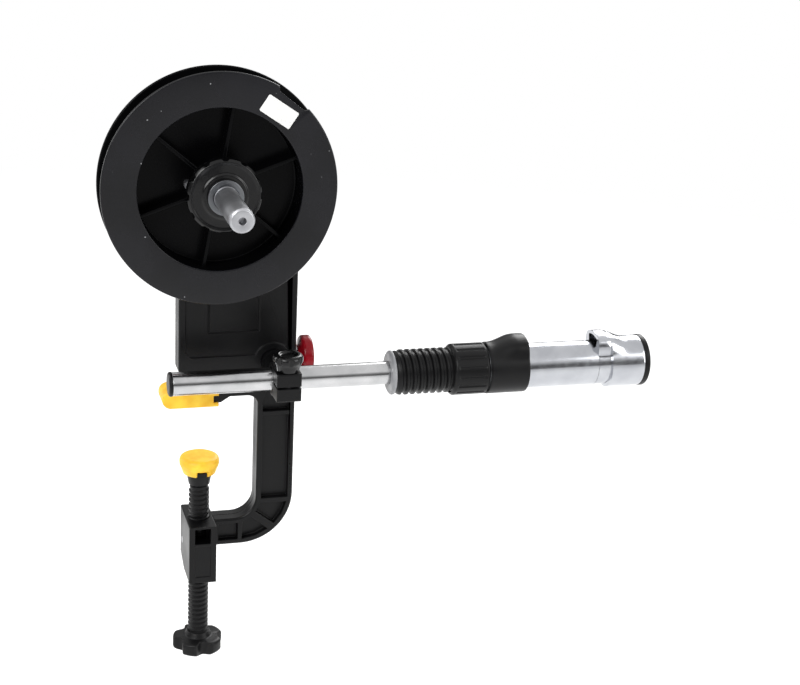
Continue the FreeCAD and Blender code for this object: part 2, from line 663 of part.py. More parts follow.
cylinder(cover, "Subtractive", "+Y", (S.crank_x, -1, S.crank_z),
         S.shaft_radius + S.run_fit + S.shaft_bush_wall, S.shell_depth + 4)

# Screws that hold the cover
screws = []
for sx, sz in cover_screws:
    shank = part_cylinder("+Y", (sx, -S.fixing_reach, sz), S.fixing_shank,
                          S.shell_depth - S.fixing_sink + S.fixing_reach)
    head = part_cylinder("+Y", (sx, S.shell_depth - S.fixing_sink, sz), S.fixing_head, S.fixing_head_high)
    slot = doc.addObject("Part::Box", "slot")
    place(slot, (sx - S.fixing_sink_radius,
                 S.shell_depth - S.fixing_sink + S.fixing_head_high - S.fixing_slot,
                 sz - S.fixing_slot / 2))
    slot.setExpression("Length", (2 * S.fixing_sink_radius).text)
    slot.setExpression("Width", (2 * S.fixing_slot).text)
    slot.setExpression("Height", S.fixing_slot.text)
    screws.append(part_cut(part_fuse([shank, head]), slot))
group("cover_screws", screws)

# Bushes of both shafts
jr, sr = S.journal_radius, S.shaft_radius
group("spindle_bushes", [
    ring_solid("+Y", (spindle_x, -S.shell_depth, spindle_z), jr + S.run_fit + S.bush_wall, jr + S.run_fit,
               S.shell_depth - S.bush_seat),
    ring_solid("+Y", (spindle_x, cover_in - S.bush_inner, spindle_z), jr + S.run_fit + S.bush_wall,
               jr + S.run_fit,
               w + S.bush_inner + S.cover_boss - S.bush_inset),
])
crank_socket = -S.shell_depth + S.panel_depth + 1.2
group("crank_bushes", [
    ring_solid("+Y", (S.crank_x, crank_socket, S.crank_z), sr + S.run_fit + S.shaft_bush_wall,
               sr + S.run_fit,
               -S.bush_seat - crank_socket),
    ring_solid("+Y", (S.crank_x, cover_in - S.bush_inner, S.crank_z), sr + S.run_fit + S.shaft_bush_wall,
               sr + S.run_fit,
               w + S.bush_inner + S.shaft_boss),
])


def involute_gear(teeth, module, addendum, backlash, width, bore, phase, holes=0, hole_r=0.0,
                  hole_ring=0.0):
    """Spur gear about Y with a tooth centred on the angle phase."""
    pitch_r = module * teeth / 2
    base_r = pitch_r * math.cos(math.radians(20))
    root_r = pitch_r - 1.2 * module
    tip_r = pitch_r + addendum * module
    start_r = max(base_r, root_r + 0.05)

    def inv(r):
        t = math.sqrt(max(r * r / (base_r * base_r) - 1, 0.0))
        return t - math.atan(t)

    half = math.pi / 2 / teeth - backlash / 2 / pitch_r + inv(pitch_r)
    pts = []
    for i in range(teeth):
        mid = math.radians(phase) + 2 * math.pi * i / teeth
        flank = []
        for k in range(6):
            r = start_r + (tip_r - start_r) * k / 5
            flank.append((r, half - inv(r)))
        side = [(root_r, flank[0][1])] + flank
        for r, a in side:
            pts.append((r, mid - a))
        for r, a in reversed(side):
            pts.append((r, mid + a))
    ring = [V3(r * math.cos(a), 0, r * math.sin(a)) for r, a in pts]
    ring.append(ring[0])
    gear = Part.Face(Part.makePolygon(ring)).extrude(V3(0, width, 0))
    gear = gear.cut(Part.makeCylinder(bore, width + 2, V3(0, -1, 0), V3(0, 1, 0)))
    for i in range(holes):
        a = 2 * math.pi * i / holes + 0.3
        gear = gear.cut(Part.makeCylinder(hole_r, width + 2,
                                          V3(hole_ring * math.cos(a), -1, hole_ring * math.sin(a)),
                                          V3(0, 1, 0)))
    return gear


line_of_centres = 90 + S.mesh_angle.value
teeth = int(round(S.gear_teeth.value))
pinion_teeth = int(round(S.pinion_teeth.value))
gear_size = (S.gear_module.value, S.gear_addendum.value, S.gear_backlash.value, S.gear_wide.value)
pitch_radius = S.gear_module.value * teeth / 2
solid_piece("drive_gear", involute_gear(teeth, *gear_size, sr.value, line_of_centres,
                                        6, pitch_radius * 0.19, pitch_radius * 0.6),
            (S.crank_x, -S.gear_front, S.crank_z))
solid_piece("pinion_gear", involute_gear(pinion_teeth, *gear_size, jr.value,
                                         line_of_centres + 180 + 180.0 / pinion_teeth),
            (spindle_x, -S.gear_front, spindle_z))

# Spindle and the drive disc behind the spool
spindle = new_body("spindle", (spindle_x, 0, spindle_z))
shoulder = -(S.shell_depth + 0.3)
spindle_end = S.shell_depth + S.cover_boss - S.bush_inset - 0.3
lathe(spindle, [(0, 6 - S.spindle_tip), (2.0, 6 - S.spindle_tip), (2.0, -S.spindle_tip),
                (S.spindle_radius - 1, -S.spindle_tip), (S.spindle_radius, 1 - S.spindle_tip),
                (S.spindle_radius, -S.groove_at - S.groove_wide),
                (S.spindle_radius - S.groove_deep, -S.groove_at - S.groove_wide),
                (S.spindle_radius - S.groove_deep, -S.groove_at), (S.spindle_radius, -S.groove_at),
                (S.spindle_radius, shoulder), (jr, shoulder), (jr, spindle_end), (0, spindle_end)])

disc = new_body("drive_disc", (spindle_x, 0, spindle_z))
disc_rear = S.disc_thick - S.spool_back
lathe(disc, [(S.spindle_radius, -S.spool_back), (S.disc_radius - 1, -S.spool_back),
             (S.disc_radius, 1 - S.spool_back),
             (S.disc_radius, disc_rear), (S.disc_hub + 1, disc_rear + 0.6), (S.disc_hub, disc_rear + 2),
             (S.disc_hub - 1, shoulder - 1), (S.spindle_radius, shoulder - 1)])
pin_seat = -S.spool_back + S.disc_thick - 0.8
hole = cylinder(disc, "Subtractive", "-Y", (S.drive_pin_ring, pin_seat, 0), S.drive_pin, S.disc_thick + 1)
around(disc, hole, "Y_Axis", 2)
pin_long = S.disc_thick - 0.8 + S.drive_pin_length
group("drive_pins", [
    part_cylinder("-Y", (spindle_x + S.drive_pin_ring, pin_seat, spindle_z), S.drive_pin, pin_long),
    part_cylinder("-Y", (spindle_x - S.drive_pin_ring, pin_seat, spindle_z), S.drive_pin, pin_long),
])

# Line spool, open at the front, with six ribs
spool_turn = 20.0
spool = new_body("line_spool", (spindle_x, 0, spindle_z), FreeCAD.Rotation(V3(0, 1, 0), -spool_turn))
spool_front = -(S.spool_back + S.spool_wide)
fl, bore_r = S.spool_flange, S.spindle_radius + S.spool_bore_fit
hub_front = spool_front + 2
web_front = -(S.spool_back + S.spool_web)
lathe(spool, [(bore_r, hub_front), (S.spool_hub, hub_front), (S.spool_hub, web_front),
              (S.spool_opening, web_front),
              (S.spool_opening, spool_front), (S.spool_radius, spool_front),
              (S.spool_radius, spool_front + fl),
              (S.spool_drum, spool_front + fl), (S.spool_drum, -S.spool_back - fl),
              (S.spool_radius, -S.spool_back - fl),
              (S.spool_radius, -S.spool_back), (bore_r, -S.spool_back)])
rib_front = spool_front + 7
rib = block(spool, "Additive", (S.spool_hub - 0.5, rib_front, -S.spool_rib / 2),
            (S.spool_opening - S.spool_hub + 1.5, web_front - rib_front + 0.5, S.spool_rib))
around(spool, rib, "Y_Axis", S.spool_ribs)
na = S.notch_angle - spool_turn
n_in = S.spool_radius - S.notch_deep
block(spool, "Subtractive", (n_in * cosine(na) + S.notch_long / 2 * sine(na), spool_front - 1,
                             n_in * sine(na) - S.notch_long / 2 * cosine(na)),
      (S.notch_deep + 2, fl + 2, S.notch_long), FreeCAD.Rotation(V3(0, 1, 0), -na.value))
hole_turn = spool_turn
hole = cylinder(spool, "Subtractive", "-Y", (S.drive_pin_ring * cosine(hole_turn), 1 - S.spool_back,
                                             -S.drive_pin_ring * sine(hole_turn)), S.drive_pin + 0.3,
                                             S.spool_web + 2)
around(spool, hole, "Y_Axis", 2)

# Scalloped nut and its split collar
nut = new_body("spool_nut", (spindle_x, 0, spindle_z))
nb = S.spindle_radius + 0.08
nut_rear = S.nut_thick - S.nut_front
lathe(nut, [(nb, hub_front), (nb, -S.nut_front), (S.collar_radius + 2, -S.nut_front),
            (S.collar_radius + 3, 0.8 - S.nut_front),
            (S.nut_radius - 3, 0.8 - S.nut_front), (S.nut_radius - 1.5, 0.3 - S.nut_front),
            (S.nut_radius, 1.6 - S.nut_front),
            (S.nut_radius, nut_rear - 0.8), (S.nut_radius - 1, nut_rear), (S.nut_hub + 1, nut_rear),
            (S.nut_hub, nut_rear + 1), (S.nut_hub, hub_front)])
scallop = cylinder(nut, "Subtractive", "-Y", (S.nut_radius + S.scallop_radius * 0.45, nut_rear + 1, 0),
                   S.scallop_radius, S.nut_thick + 3)
around(nut, scallop, "Y_Axis", S.nut_scallops)
collar = new_body("nut_collar", (spindle_x, 0, spindle_z), FreeCAD.Rotation(V3(0, 1, 0), 35))
lathe(collar, [(nb, -S.nut_front), (nb, -S.nut_front - S.collar_long),
               (S.collar_radius - 0.6, -S.nut_front - S.collar_long),
               (S.collar_radius, 0.6 - S.nut_front - S.collar_long), (S.collar_radius, -S.nut_front)])
block(collar, "Subtractive", (0, -S.nut_front - S.collar_long - 1, -S.collar_split / 2),
      (S.collar_radius + 1, S.collar_long + 2, S.collar_split))

# Crank shaft, washers, star drag, sleeve
shaft = new_body("crank_shaft", (S.crank_x, 0, S.crank_z))
hub_rear = S.handle_hub_y + S.handle_thick / 2
shaft_end = hub_rear + S.crown_high
lathe(shaft, [(0, crank_socket + 0.3), (sr - 0.5, crank_socket + 0.3), (sr, crank_socket + 0.8),
              (sr, shaft_end), (0, shaft_end)])
washer_y = S.shell_depth + S.shaft_boss + 0.3
group("drag_washers", [
    ring_solid("+Y", (S.crank_x, washer_y + S.washer_thick * i, S.crank_z), S.washer_radius - 0.7 * (i % 2),
               sr + S.drag_fit, S.washer_thick) for i in range(3)])
star_y = washer_y + S.washer_thick * 3
drag = new_body("star_drag", (S.crank_x, 0, S.crank_z), FreeCAD.Rotation(V3(0, 1, 0), -S.drag_turn.value))
lathe(drag, [(sr + S.drag_fit, star_y), (S.drag_hub, star_y), (S.drag_hub, star_y + S.drag_hub_long - 1),
             (S.drag_hub - 1, star_y + S.drag_hub_long), (sr + S.drag_fit, star_y + S.drag_hub_long)])
arm_y = star_y + S.drag_root
tip_y = arm_y - S.drag_fall
reach = S.drag_reach
arm_th = S.drag_arm_thick
sk = sketch_on(drag, "XY_Plane", "arm_side")
draw(sk, [(S.drag_hub - 1.5, arm_y), (reach * 0.45, arm_y), (reach * 0.82, tip_y), (reach, tip_y),
          (reach, tip_y + arm_th), (reach * 0.84, tip_y + arm_th), (reach * 0.48, arm_y + arm_th),
          (S.drag_hub - 1.5, arm_y + arm_th)])
arm = pad(drag, sk, S.drag_arm_wide, both=True)
eye = cylinder(drag, "Additive", "+Y", (reach, tip_y, 0), S.drag_eye, arm_th)
eye_hole = cylinder(drag, "Subtractive", "+Y", (reach, tip_y - 1, 0), S.drag_eye_hole, arm_th + 2)
star = drag.newObject("PartDesign::PolarPattern", "arms")
star.Originals = [arm, eye, eye_hole]
star.Axis = (plane(drag, "Y_Axis"), [""])
star.Angle = 360
star.Occurrences = 5
finish(drag, star)
sleeve_y = star_y + S.drag_hub_long + 0.3
hub_front_y = S.handle_hub_y - S.handle_thick / 2
sleeve = ring_solid("+Y", (S.crank_x, sleeve_y, S.crank_z), S.sleeve_radius, sr, hub_front_y - sleeve_y)
sleeve.Label = "crank_sleeve"
NODES.append(("crank_sleeve", sleeve))

# Crank handle plate: bent towards the housing at both ends
tilt = S.handle_tilt
handle = new_body("crank_arm", (S.crank_x, 0, S.crank_z), FreeCAD.Rotation(V3(0, 1, 0), tilt.value))
th = S.handle_thick
hy, ey = S.handle_hub_y, S.handle_end_y
end_x = S.handle_radius + S.handle_end_wide / 2
b0, b1 = S.handle_bend_in, S.handle_bend_out
sk = sketch_on(handle, "XY_Plane", "bend")
upper = [(-end_x, ey + th / 2), (-b1, ey + th / 2), (-b0, hy + th / 2), (b0, hy + th / 2),
         (b1, ey + th / 2), (end_x, ey + th / 2)]
lower = [(end_x, ey - th / 2), (b1, ey - th / 2), (b0, hy - th / 2), (-b0, hy - th / 2), (-b1, ey - th / 2),
         (-end_x, ey - th / 2)]
draw(sk, list(reversed(upper + lower)))
pad(handle, sk, S.handle_mid_wide + 2, both=True)
sk = sketch_on(handle, "XZ_Plane", "plate_outline")
hw, ew = S.handle_mid_wide / 2, S.handle_end_wide / 2
R_end = S.handle_radius
draw(sk, [(-end_x - 5, -hw - 5), (end_x + 5, -hw - 5), (end_x + 5, hw + 5), (-end_x - 5, hw + 5)])
draw(sk, [(-R_end, -ew), (-b1 + 4, -ew - 0.4), (-b0, -hw), (b0, -hw), (b1 - 4, -ew - 0.4),
          (R_end, -ew, (R_end, 0), 1),
          (R_end, ew), (b1 - 4, ew + 0.4), (b0, hw), (-b0, hw), (-b1 + 4, ew + 0.4),
          (-R_end, ew, (-R_end, 0), 1)])
pocket(handle, sk, 200, both=True)
cylinder(handle, "Subtractive", "+Y", (0, hy - 10, 0), sr, 20)
for k in (-1, 1):
    cylinder(handle, "Subtractive", "+Y", (k * S.handle_radius, ey - 10, 0), S.post_radius, 20)
    for ring in (S.handle_hole_ring, S.handle_hole_ring_two):
        cylinder(handle, "Subtractive", "+Y", (k * ring, ey - 10, 0), S.handle_hole, 30)
cylinder(handle, "Subtractive", "+Y", (S.lock_screw_ring, hy - 10, 0), S.lock_screw_radius * 0.6, 20)
crown = new_body("crank_nut", (S.crank_x, 0, S.crank_z))
ch, cd = S.crown_high, S.crown_dome
lathe(crown, [(sr, hub_rear), (S.crown_radius, hub_rear), (S.crown_radius, hub_rear + ch - 0.8),
              (S.crown_radius - 1.2, hub_rear + ch), (S.crown_radius - 1.8, hub_rear + ch + cd * 0.55),
              (S.crown_radius - 3.4, hub_rear + ch + cd * 0.92), (0, hub_rear + ch + cd), (0, shaft_end),
              (sr, shaft_end)])
lock_x = S.crank_x + S.lock_screw_ring * cosine(tilt)
lock_z = S.crank_z - S.lock_screw_ring * sine(tilt)
lock = part_fuse([part_cylinder("+Y", (lock_x, hub_front_y, lock_z), S.lock_screw_radius * 0.6, th),
                  part_cylinder("+Y", (lock_x, hub_rear, lock_z), S.lock_screw_radius, 1.3)])
lock.Label = "arm_lock_screw"
NODES.append(("arm_lock_screw", lock))

# Knob posts, washers, knobs and caps
post_rear = ey - th / 2 - 1.4
washer_at = ey + th / 2
knob_y = washer_at + S.knob_washer_thick + S.knob_gap
knob_end = knob_y + S.knob_long
post_end = knob_end - 5.5
posts, washers = [], []
for k in (-1, 1):
    kx = S.crank_x + k * S.handle_radius * cosine(tilt)
    kz = S.crank_z - k * S.handle_radius * sine(tilt)
    posts.append(part_fuse([part_cylinder("+Y", (kx, post_rear, kz), S.post_head, 1.4),
                            part_cylinder("+Y", (kx, post_rear, kz), S.post_radius,
                                          post_end + 0.3 - post_rear),
                            part_cylinder("+Y", (kx, post_end + 0.3, kz), S.post_head, 1.8)]))
    washers.append(ring_solid("+Y", (kx, washer_at, kz), S.knob_washer, S.post_radius, S.knob_washer_thick))
    name = "lower" if k > 0 else "upper"
    knob = new_body("knob_" + name, (kx, 0, kz))
    pr = S.post_radius + S.run_fit
    kl = S.knob_long
    lathe(knob, [(pr, knob_y), (S.knob_neck - 0.8, knob_y), (S.knob_neck, knob_y + 0.8),
                 (S.knob_grip - 1, knob_y + kl * 0.1),
                 (S.knob_grip - 0.1, knob_y + kl * 0.2), (S.knob_grip, knob_y + kl * 0.38),
                 (S.knob_grip + 0.2, knob_y + kl * 0.55),
                 (S.knob_grip + 1.4, knob_y + kl * 0.68), (S.knob_swell - 0.9, knob_y + kl * 0.78),
                 (S.knob_swell, knob_y + kl * 0.87),
                 (S.knob_swell - 0.9, knob_y + kl * 0.94), (S.knob_cap + 1.6, knob_end),
                 (S.knob_cap, knob_end),
                 (S.knob_cap, post_end), (pr, post_end)])
    for i in range(4):
        at = knob_y + kl * (0.48 + 0.045 * i)
        sk = sketch_on(knob, "XY_Plane", "grip_line")
        draw(sk, [(S.knob_grip - 0.35, at), (S.knob_grip + 2, at), (S.knob_grip + 2, at + 0.5),
                  (S.knob_grip - 0.35, at + 0.5)])
        f = knob.newObject("PartDesign::Groove", "grip_groove")
        f.Profile = sk
        f.ReferenceAxis = (sk, ["V_Axis"])
        f.Angle = 360
        finish(knob, f)
    cap = new_body("knob_cap_" + name, (kx, 0, kz))
    cap_y = knob_end - S.knob_cap_depth
    lathe(cap, [(0, post_end + 2.5), (S.knob_cap, post_end + 2.5), (S.knob_cap, cap_y),
                (S.knob_cap - 1.5, cap_y),
                (S.knob_cap - 2.0, cap_y - 0.4), (0, cap_y - 0.2)])
group("knob_posts", posts)
group("knob_washers", washers)

# Cross rod with its end cap
rod = new_body("cross_rod", (S.rod_x, 0, S.rod_z))
rr = S.rod_radius
rod_wall = 1.4
plug_long = S.plug_depth
lathe(rod, [(rr - rod_wall, -S.rod_front), (rr, -S.rod_front), (rr, S.rod_back - S.rod_plug),
            (rr - rod_wall, S.rod_back - S.rod_plug)])
cylinder(rod, "Subtractive", "-Z", (0, S.rod_back - 21, 0), 0.9, rr + 1)
rod_cap = new_body("rod_end_cap", (S.rod_x, 0, S.rod_z))
lathe(rod_cap, [(0, S.rod_back - S.rod_plug - plug_long),
                (rr - rod_wall, S.rod_back - S.rod_plug - plug_long),
                (rr - rod_wall, S.rod_back - S.rod_plug), (rr, S.rod_back - S.rod_plug),
                (rr, S.rod_back - 0.6),
                (rr - 0.6, S.rod_back), (0, S.rod_back)])

# Thumb screw: nylon tip, shank and dished knob, along X
tip_x = S.rod_x + rr + 0.05
thumb_tip = new_body("thumb_tip", (0, 0, S.rod_z))
lathe(thumb_tip, [(tip_x, 0), (tip_x, S.thumb_shank - 0.6), (tip_x + 0.5, S.thumb_shank),
                  (tip_x + S.thumb_tip_long, S.thumb_shank),
                  (tip_x + S.thumb_tip_long, 0)], "X")
knob_x = right + S.thumb_knob_gap
thumb_shank = new_body("thumb_shank", (0, 0, S.rod_z))
shank_x = tip_x + S.thumb_tip_long + 0.02
lathe(thumb_shank, [(shank_x, 0), (shank_x, S.thumb_shank), (knob_x + 4, S.thumb_shank), (knob_x + 4, 0)],
      "X")
thumb_knob = new_body("thumb_knob", (0, 0, S.rod_z))
tk, tt = S.thumb_knob_radius, S.thumb_knob_thick
lathe(thumb_knob, [(knob_x, S.thumb_shank), (knob_x, 6.0), (knob_x + 1.2, 6.4), (knob_x + 2.0, tk - 1.0),
                   (knob_x + 3.0, tk),
                   (knob_x + tt - 1.4, tk), (knob_x + tt - 0.4, tk - 0.6), (knob_x + tt, tk - 1.6),
                   (knob_x + tt, S.thumb_dish),
                   (knob_x + tt - S.thumb_dish_depth, S.thumb_dish - 1.6),
                   (knob_x + tt - S.thumb_dish_depth, 0),
                   (knob_x + 4, 0), (knob_x + 4, S.thumb_shank)], "X")

# Bracket on the front end of the cross rod, clamping the steel tube
bracket = new_body("tube_bracket", (S.rod_x, -S.tube_y, S.rod_z))
bw, br, eh = S.bracket_wide, S.bracket_ring, S.ear_half
cylinder(bracket, "Additive", "+X", (-bw / 2, 0, 0), br, bw)
block(bracket, "Additive", (-bw / 2, -S.ear_reach, -eh), (bw, S.ear_reach, 2 * eh))
soften(bracket, 1.2, lambda e: all(abs(v.Y + S.ear_reach.value + S.tube_y.value) < 1e-4 or
                                  abs(v.Y + S.ear_reach.value) < 1e-4 for v in e.Vertexes))
tail_long = S.tube_y - S.bracket_tail
cylinder(bracket, "Additive", "+Y", (0, 0, 0), S.bracket_tail_radius, tail_long)
cylinder(bracket, "Subtractive", "+X", (-bw - 5, 0, 0), S.tube_radius + S.run_fit, 2 * bw + 10)
cylinder(bracket, "Subtractive", "+Y", (0, S.tube_y - S.rod_front, 0), rr, 30)
block(bracket, "Subtractive", (-bw, -S.ear_reach - 1, -S.bracket_slit / 2),
      (2 * bw, S.ear_reach + 1 - S.tube_radius + 1, S.bracket_slit))
cylinder(bracket, "Subtractive", "+Z", (0, -S.bracket_screw_y, -eh - 1),
         S.bracket_screw + S.bracket_screw_fit, 2 * eh + 2)
cylinder(bracket, "Subtractive", "+Z", (0, -S.bracket_screw_y, -eh - 1), S.bracket_nut,
         S.bracket_nut_high + 1)
screw_y = -S.tube_y - S.bracket_screw_y
nut_ring = ring_solid("+Z", (S.rod_x, screw_y, S.rod_z - eh), S.bracket_nut,
                      S.bracket_screw + S.bracket_screw_fit,
                      S.bracket_nut_high)
nut_ring.Label = "bracket_nut"
NODES.append(("bracket_nut", nut_ring))
knob_z = S.rod_z + eh + 0.3
stud = part_cylinder("+Z", (S.rod_x, screw_y, S.rod_z - eh), S.bracket_screw, 2 * eh + 0.3 + 4)
stud.Label = "bracket_screw"
NODES.append(("bracket_screw", stud))
clamp_knob = new_body("bracket_knob", (S.rod_x, screw_y, knob_z))
kr, kh = S.bracket_knob_radius, S.bracket_knob_high
lathe(clamp_knob, [(S.bracket_screw, 0), (kr - 2.4, 0), (kr - 1.2, kh * 0.42), (kr, kh * 0.6),
                   (kr, kh * 0.86),
                   (kr - 1.4, kh), (kr - 3.4, kh), (kr - 4.2, kh - 1), (0, kh - 1), (0, 4),
                   (S.bracket_screw, 4)], "Z")
flute = cylinder(clamp_knob, "Subtractive", "+Z", (kr + 1.2, 0, -1), 2.0, kh + 2)
around(clamp_knob, flute, "Z_Axis", 8)

# Steel tube, its end plug and the reel seat
tube_at = (0, -S.tube_y, S.rod_z)
tube_r = S.tube_radius
tube_end = S.seat_left + S.tube_in_seat
tube = ring_solid("+X", (-S.tube_left, -S.tube_y, S.rod_z), tube_r, tube_r - S.tube_wall,
                  tube_end + S.tube_left)
tube.Label = "reel_tube"
NODES.append(("reel_tube", tube))
plug = new_body("tube_end_plug", tube_at)
lathe(plug, [(-S.tube_left + S.plug_depth, 0), (-S.tube_left + S.plug_depth, tube_r - S.tube_wall),
             (-S.tube_left, tube_r - S.tube_wall),
             (-S.tube_left, tube_r + 0.3), (-S.tube_left - S.plug_rim, tube_r + 0.3),
             (-S.tube_left - S.plug_rim - 0.8, tube_r - 0.6),
             (-S.tube_left - S.plug_rim - 0.8, 0)], "X")
ring_body = new_body("seat_ring", tube_at)
lathe(ring_body, [(S.ring_left, tube_r), (S.ring_left, S.ring_radius - 1.6),
                  (S.ring_left + 1.4, S.ring_radius), (S.seat_left, S.ring_radius),
                  (S.seat_left, tube_r)], "X")
barrel = new_body("thread_barrel", tube_at)
ba = S.barrel_radius
lathe(barrel, [(S.seat_left, tube_r), (S.seat_left, ba), (S.barrel_right, ba), (S.barrel_right, tube_r)],
      "X")
sk = sketch_on(barrel, "XY_Plane", "thread_groove")
g0 = S.seat_left + 1.6
bp = S.barrel_pitch
draw(sk, [(g0, ba + 1), (g0 + bp * 0.16, S.barrel_root), (g0 + bp * 0.34, S.barrel_root),
          (g0 + bp * 0.5, ba + 1)])
groove = barrel.newObject("PartDesign::Groove", "groove")
groove.Profile = sk
groove.ReferenceAxis = (sk, ["H_Axis"])
groove.Angle = 360
finish(barrel, groove)
turns = int((S.barrel_right.value - S.seat_left.value - 2) / S.barrel_pitch.value)
along(barrel, groove, "X_Axis", bp, turns)
seat = ring_solid("+X", (S.barrel_right, -S.tube_y, S.rod_z), ba, ba - S.seat_wall,
                  S.seat_right - S.barrel_right)
seat.Label = "seat_tube"
NODES.append(("seat_tube", seat))
seat_bush = ring_solid("+X", (S.barrel_right, -S.tube_y, S.rod_z), ba - S.seat_wall, tube_r, S.bush_long)
seat_bush.Label = "seat_bush"
NODES.append(("seat_bush", seat_bush))
lock_nut = new_body("locking_nut", tube_at)
lr = S.lock_radius
lathe(lock_nut, [(S.nut_left, ba + S.hood_fit), (S.nut_left, lr - 1.2), (S.nut_left + 1.2, lr),
                 (S.nut_right - 1.2, lr),
                 (S.nut_right, lr - 1.2), (S.nut_right, ba + S.hood_fit)], "X")
flute = cylinder(lock_nut, "Subtractive", "+X", (S.nut_left + 2.4, 0, lr + 0.7), 1.3,
                 S.nut_right - S.nut_left - 4.8)
around(lock_nut, flute, "X_Axis", S.lock_flutes)


def hood(name, x0, x1, outer, inner, mouth_x, depth, rise_from, rise_to, rise_high):
    """Sleeve with a raised hood whose mouth takes the reel's foot."""
    body = new_body(name, tube_at)
    lathe(body, [(x0, inner), (x0, outer - 0.8), (x0 + 0.8, outer), (x1 - 0.8, outer), (x1, outer - 0.8),
                 (x1, inner)], "X")
    sk = sketch_on(body, "XZ_Plane", "hood_side")
    top = outer + rise_high
    draw(sk, [(rise_from, inner + 0.4), (rise_to, inner + 0.4), (rise_to, top),
              (rise_to + (rise_from - rise_to) * 0.55, top - 0.6),
              (rise_from, outer - 0.5)] if rise_to.value > rise_from.value else
         [(rise_to, inner + 0.4), (rise_from, inner + 0.4), (rise_from, outer - 0.5),
          (rise_to + (rise_from - rise_to) * 0.55, top - 0.6), (rise_to, top)])
    pad(body, sk, S.hood_mouth + 2 * S.hood_wall, both=True)
    block(body, "Subtractive", (mouth_x, -S.hood_mouth / 2, inner - 1),
          (depth, S.hood_mouth, 1 + top - inner - S.hood_wall))
    cylinder(body, "Subtractive", "+X", (x0 - 30, 0, 0), inner, x1 - x0 + 60)
    return body


hood_left = S.nut_right + 0.4
hood("sliding_hood", hood_left, S.hood_right, ba + S.hood_wall, ba + S.hood_fit, S.hood_right - 9,
     as_size(10),
     hood_left + 2, S.hood_right, S.hood_rise - 2)
hood("fixed_hood", S.fixed_left, S.seat_right, S.fixed_radius, ba, S.fixed_left - 9, as_size(10),
     S.fixed_left + 12, S.fixed_left - 8, S.hood_rise - 2)
end_cap = new_body("seat_end_cap", tube_at)
cap_right = S.seat_right + S.cap_thick
lathe(end_cap, [(S.seat_right - S.plug_depth, 0), (S.seat_right - S.plug_depth, ba - S.seat_wall),
                (S.seat_right, ba - S.seat_wall),
                (S.seat_right, S.cap_radius), (cap_right - 1, S.cap_radius), (cap_right, S.cap_radius - 1),
                (cap_right, 9),
                (cap_right - 1, 8), (cap_right - 1, 0)], "X")

# Yellow pad over the jaw tip
jaw_pad = new_body("jaw_pad")
sleeve_wall, ps = S.pad_wall, S.pad_side_wall
pad_tip = tip - sleeve_wall
pad_foot = S.jaw_under - sleeve_wall
pad_head = S.jaw_tip_top + sleeve_wall
sk = sketch_on(jaw_pad, "XZ_Plane", "pad_outline", S.shell_depth + ps)
jc = S.jaw_corner + sleeve_wall
draw(sk, [(pad_tip, pad_head - jc), (pad_tip, pad_foot + jc, (pad_tip + jc, pad_foot + jc), 1),
          (pad_tip + jc, pad_foot),
          (S.jaw_step, pad_foot), (S.jaw_step, pad_head),
          (pad_tip + jc, pad_head, (pad_tip + jc, pad_head - jc), 1)])
pad(jaw_pad, sk, 2 * (S.shell_depth + ps), True)
soften(jaw_pad, 1.2, lambda e: abs(abs(e.CenterOfMass.y) - S.shell_depth.value - ps.value) < 1e-4
       and e.CenterOfMass.x < S.jaw_step.value - 0.1)
sk = sketch_on(jaw_pad, "XZ_Plane", "tip_outline", S.shell_depth)
tip_corner = S.jaw_corner
draw(sk, [(tip, S.jaw_tip_top - tip_corner),
          (tip, S.jaw_under + tip_corner, (tip + tip_corner, S.jaw_under + tip_corner), 1),
          (tip + tip_corner, S.jaw_under),
          (S.jaw_step + 1, S.jaw_under), (S.jaw_step + 1, S.jaw_tip_top),
          (tip + tip_corner, S.jaw_tip_top, (tip + tip_corner, S.jaw_tip_top - tip_corner), 1)])
pocket(jaw_pad, sk, 2 * S.shell_depth)
block(jaw_pad, "Subtractive", (S.jaw_step - 3, -S.shell_depth - ps - 1, S.jaw_under + 0.6),
      (4, 2 * (S.shell_depth + ps) + 2, 4.2))

# Clamp screw with ball end, cup and round pad
screw = new_body("clamp_screw")
screw_r, nr, ballr = S.screw_radius, S.neck_radius, S.ball_radius
pad_low = -(S.pad_top + S.pad_high)
recess_top = pad_low + S.cup_recess
ball_z = recess_top - S.ball_fit - ballr
screw_low = -(S.star_top + S.star_high) + 2
lathe(screw, [(0, screw_low), (screw_r, screw_low), (screw_r, -S.screw_top - 1.2),
              (screw_r - 1.2, -S.screw_top), (nr, -S.screw_top),
              (nr, ball_z - ballr * 0.76), (ballr, ball_z - ballr * 0.3), (ballr, ball_z + ballr * 0.3),
              (ballr * 0.6, ball_z + ballr), (0, ball_z + ballr)], "Z")
tp, td = S.thread_pitch, S.thread_depth
g0 = -S.screw_top - 2.2
sk = sketch_on(screw, "XZ_Plane", "thread_groove")
draw(sk, [(screw_r - td, g0 - tp * 0.42), (screw_r + 0.6, g0 - tp * 0.66), (screw_r + 0.6, g0),
          (screw_r - td, g0 - tp * 0.24)])
groove = screw.newObject("PartDesign::Groove", "groove")
groove.Profile = sk
groove.ReferenceAxis = (sk, ["V_Axis"])
groove.Angle = 360
finish(screw, groove)
turns = int((S.star_top.value - S.star_neck.value - S.screw_top.value - 4) / S.thread_pitch.value)
along(screw, groove, "Z_Axis", tp, turns, True)

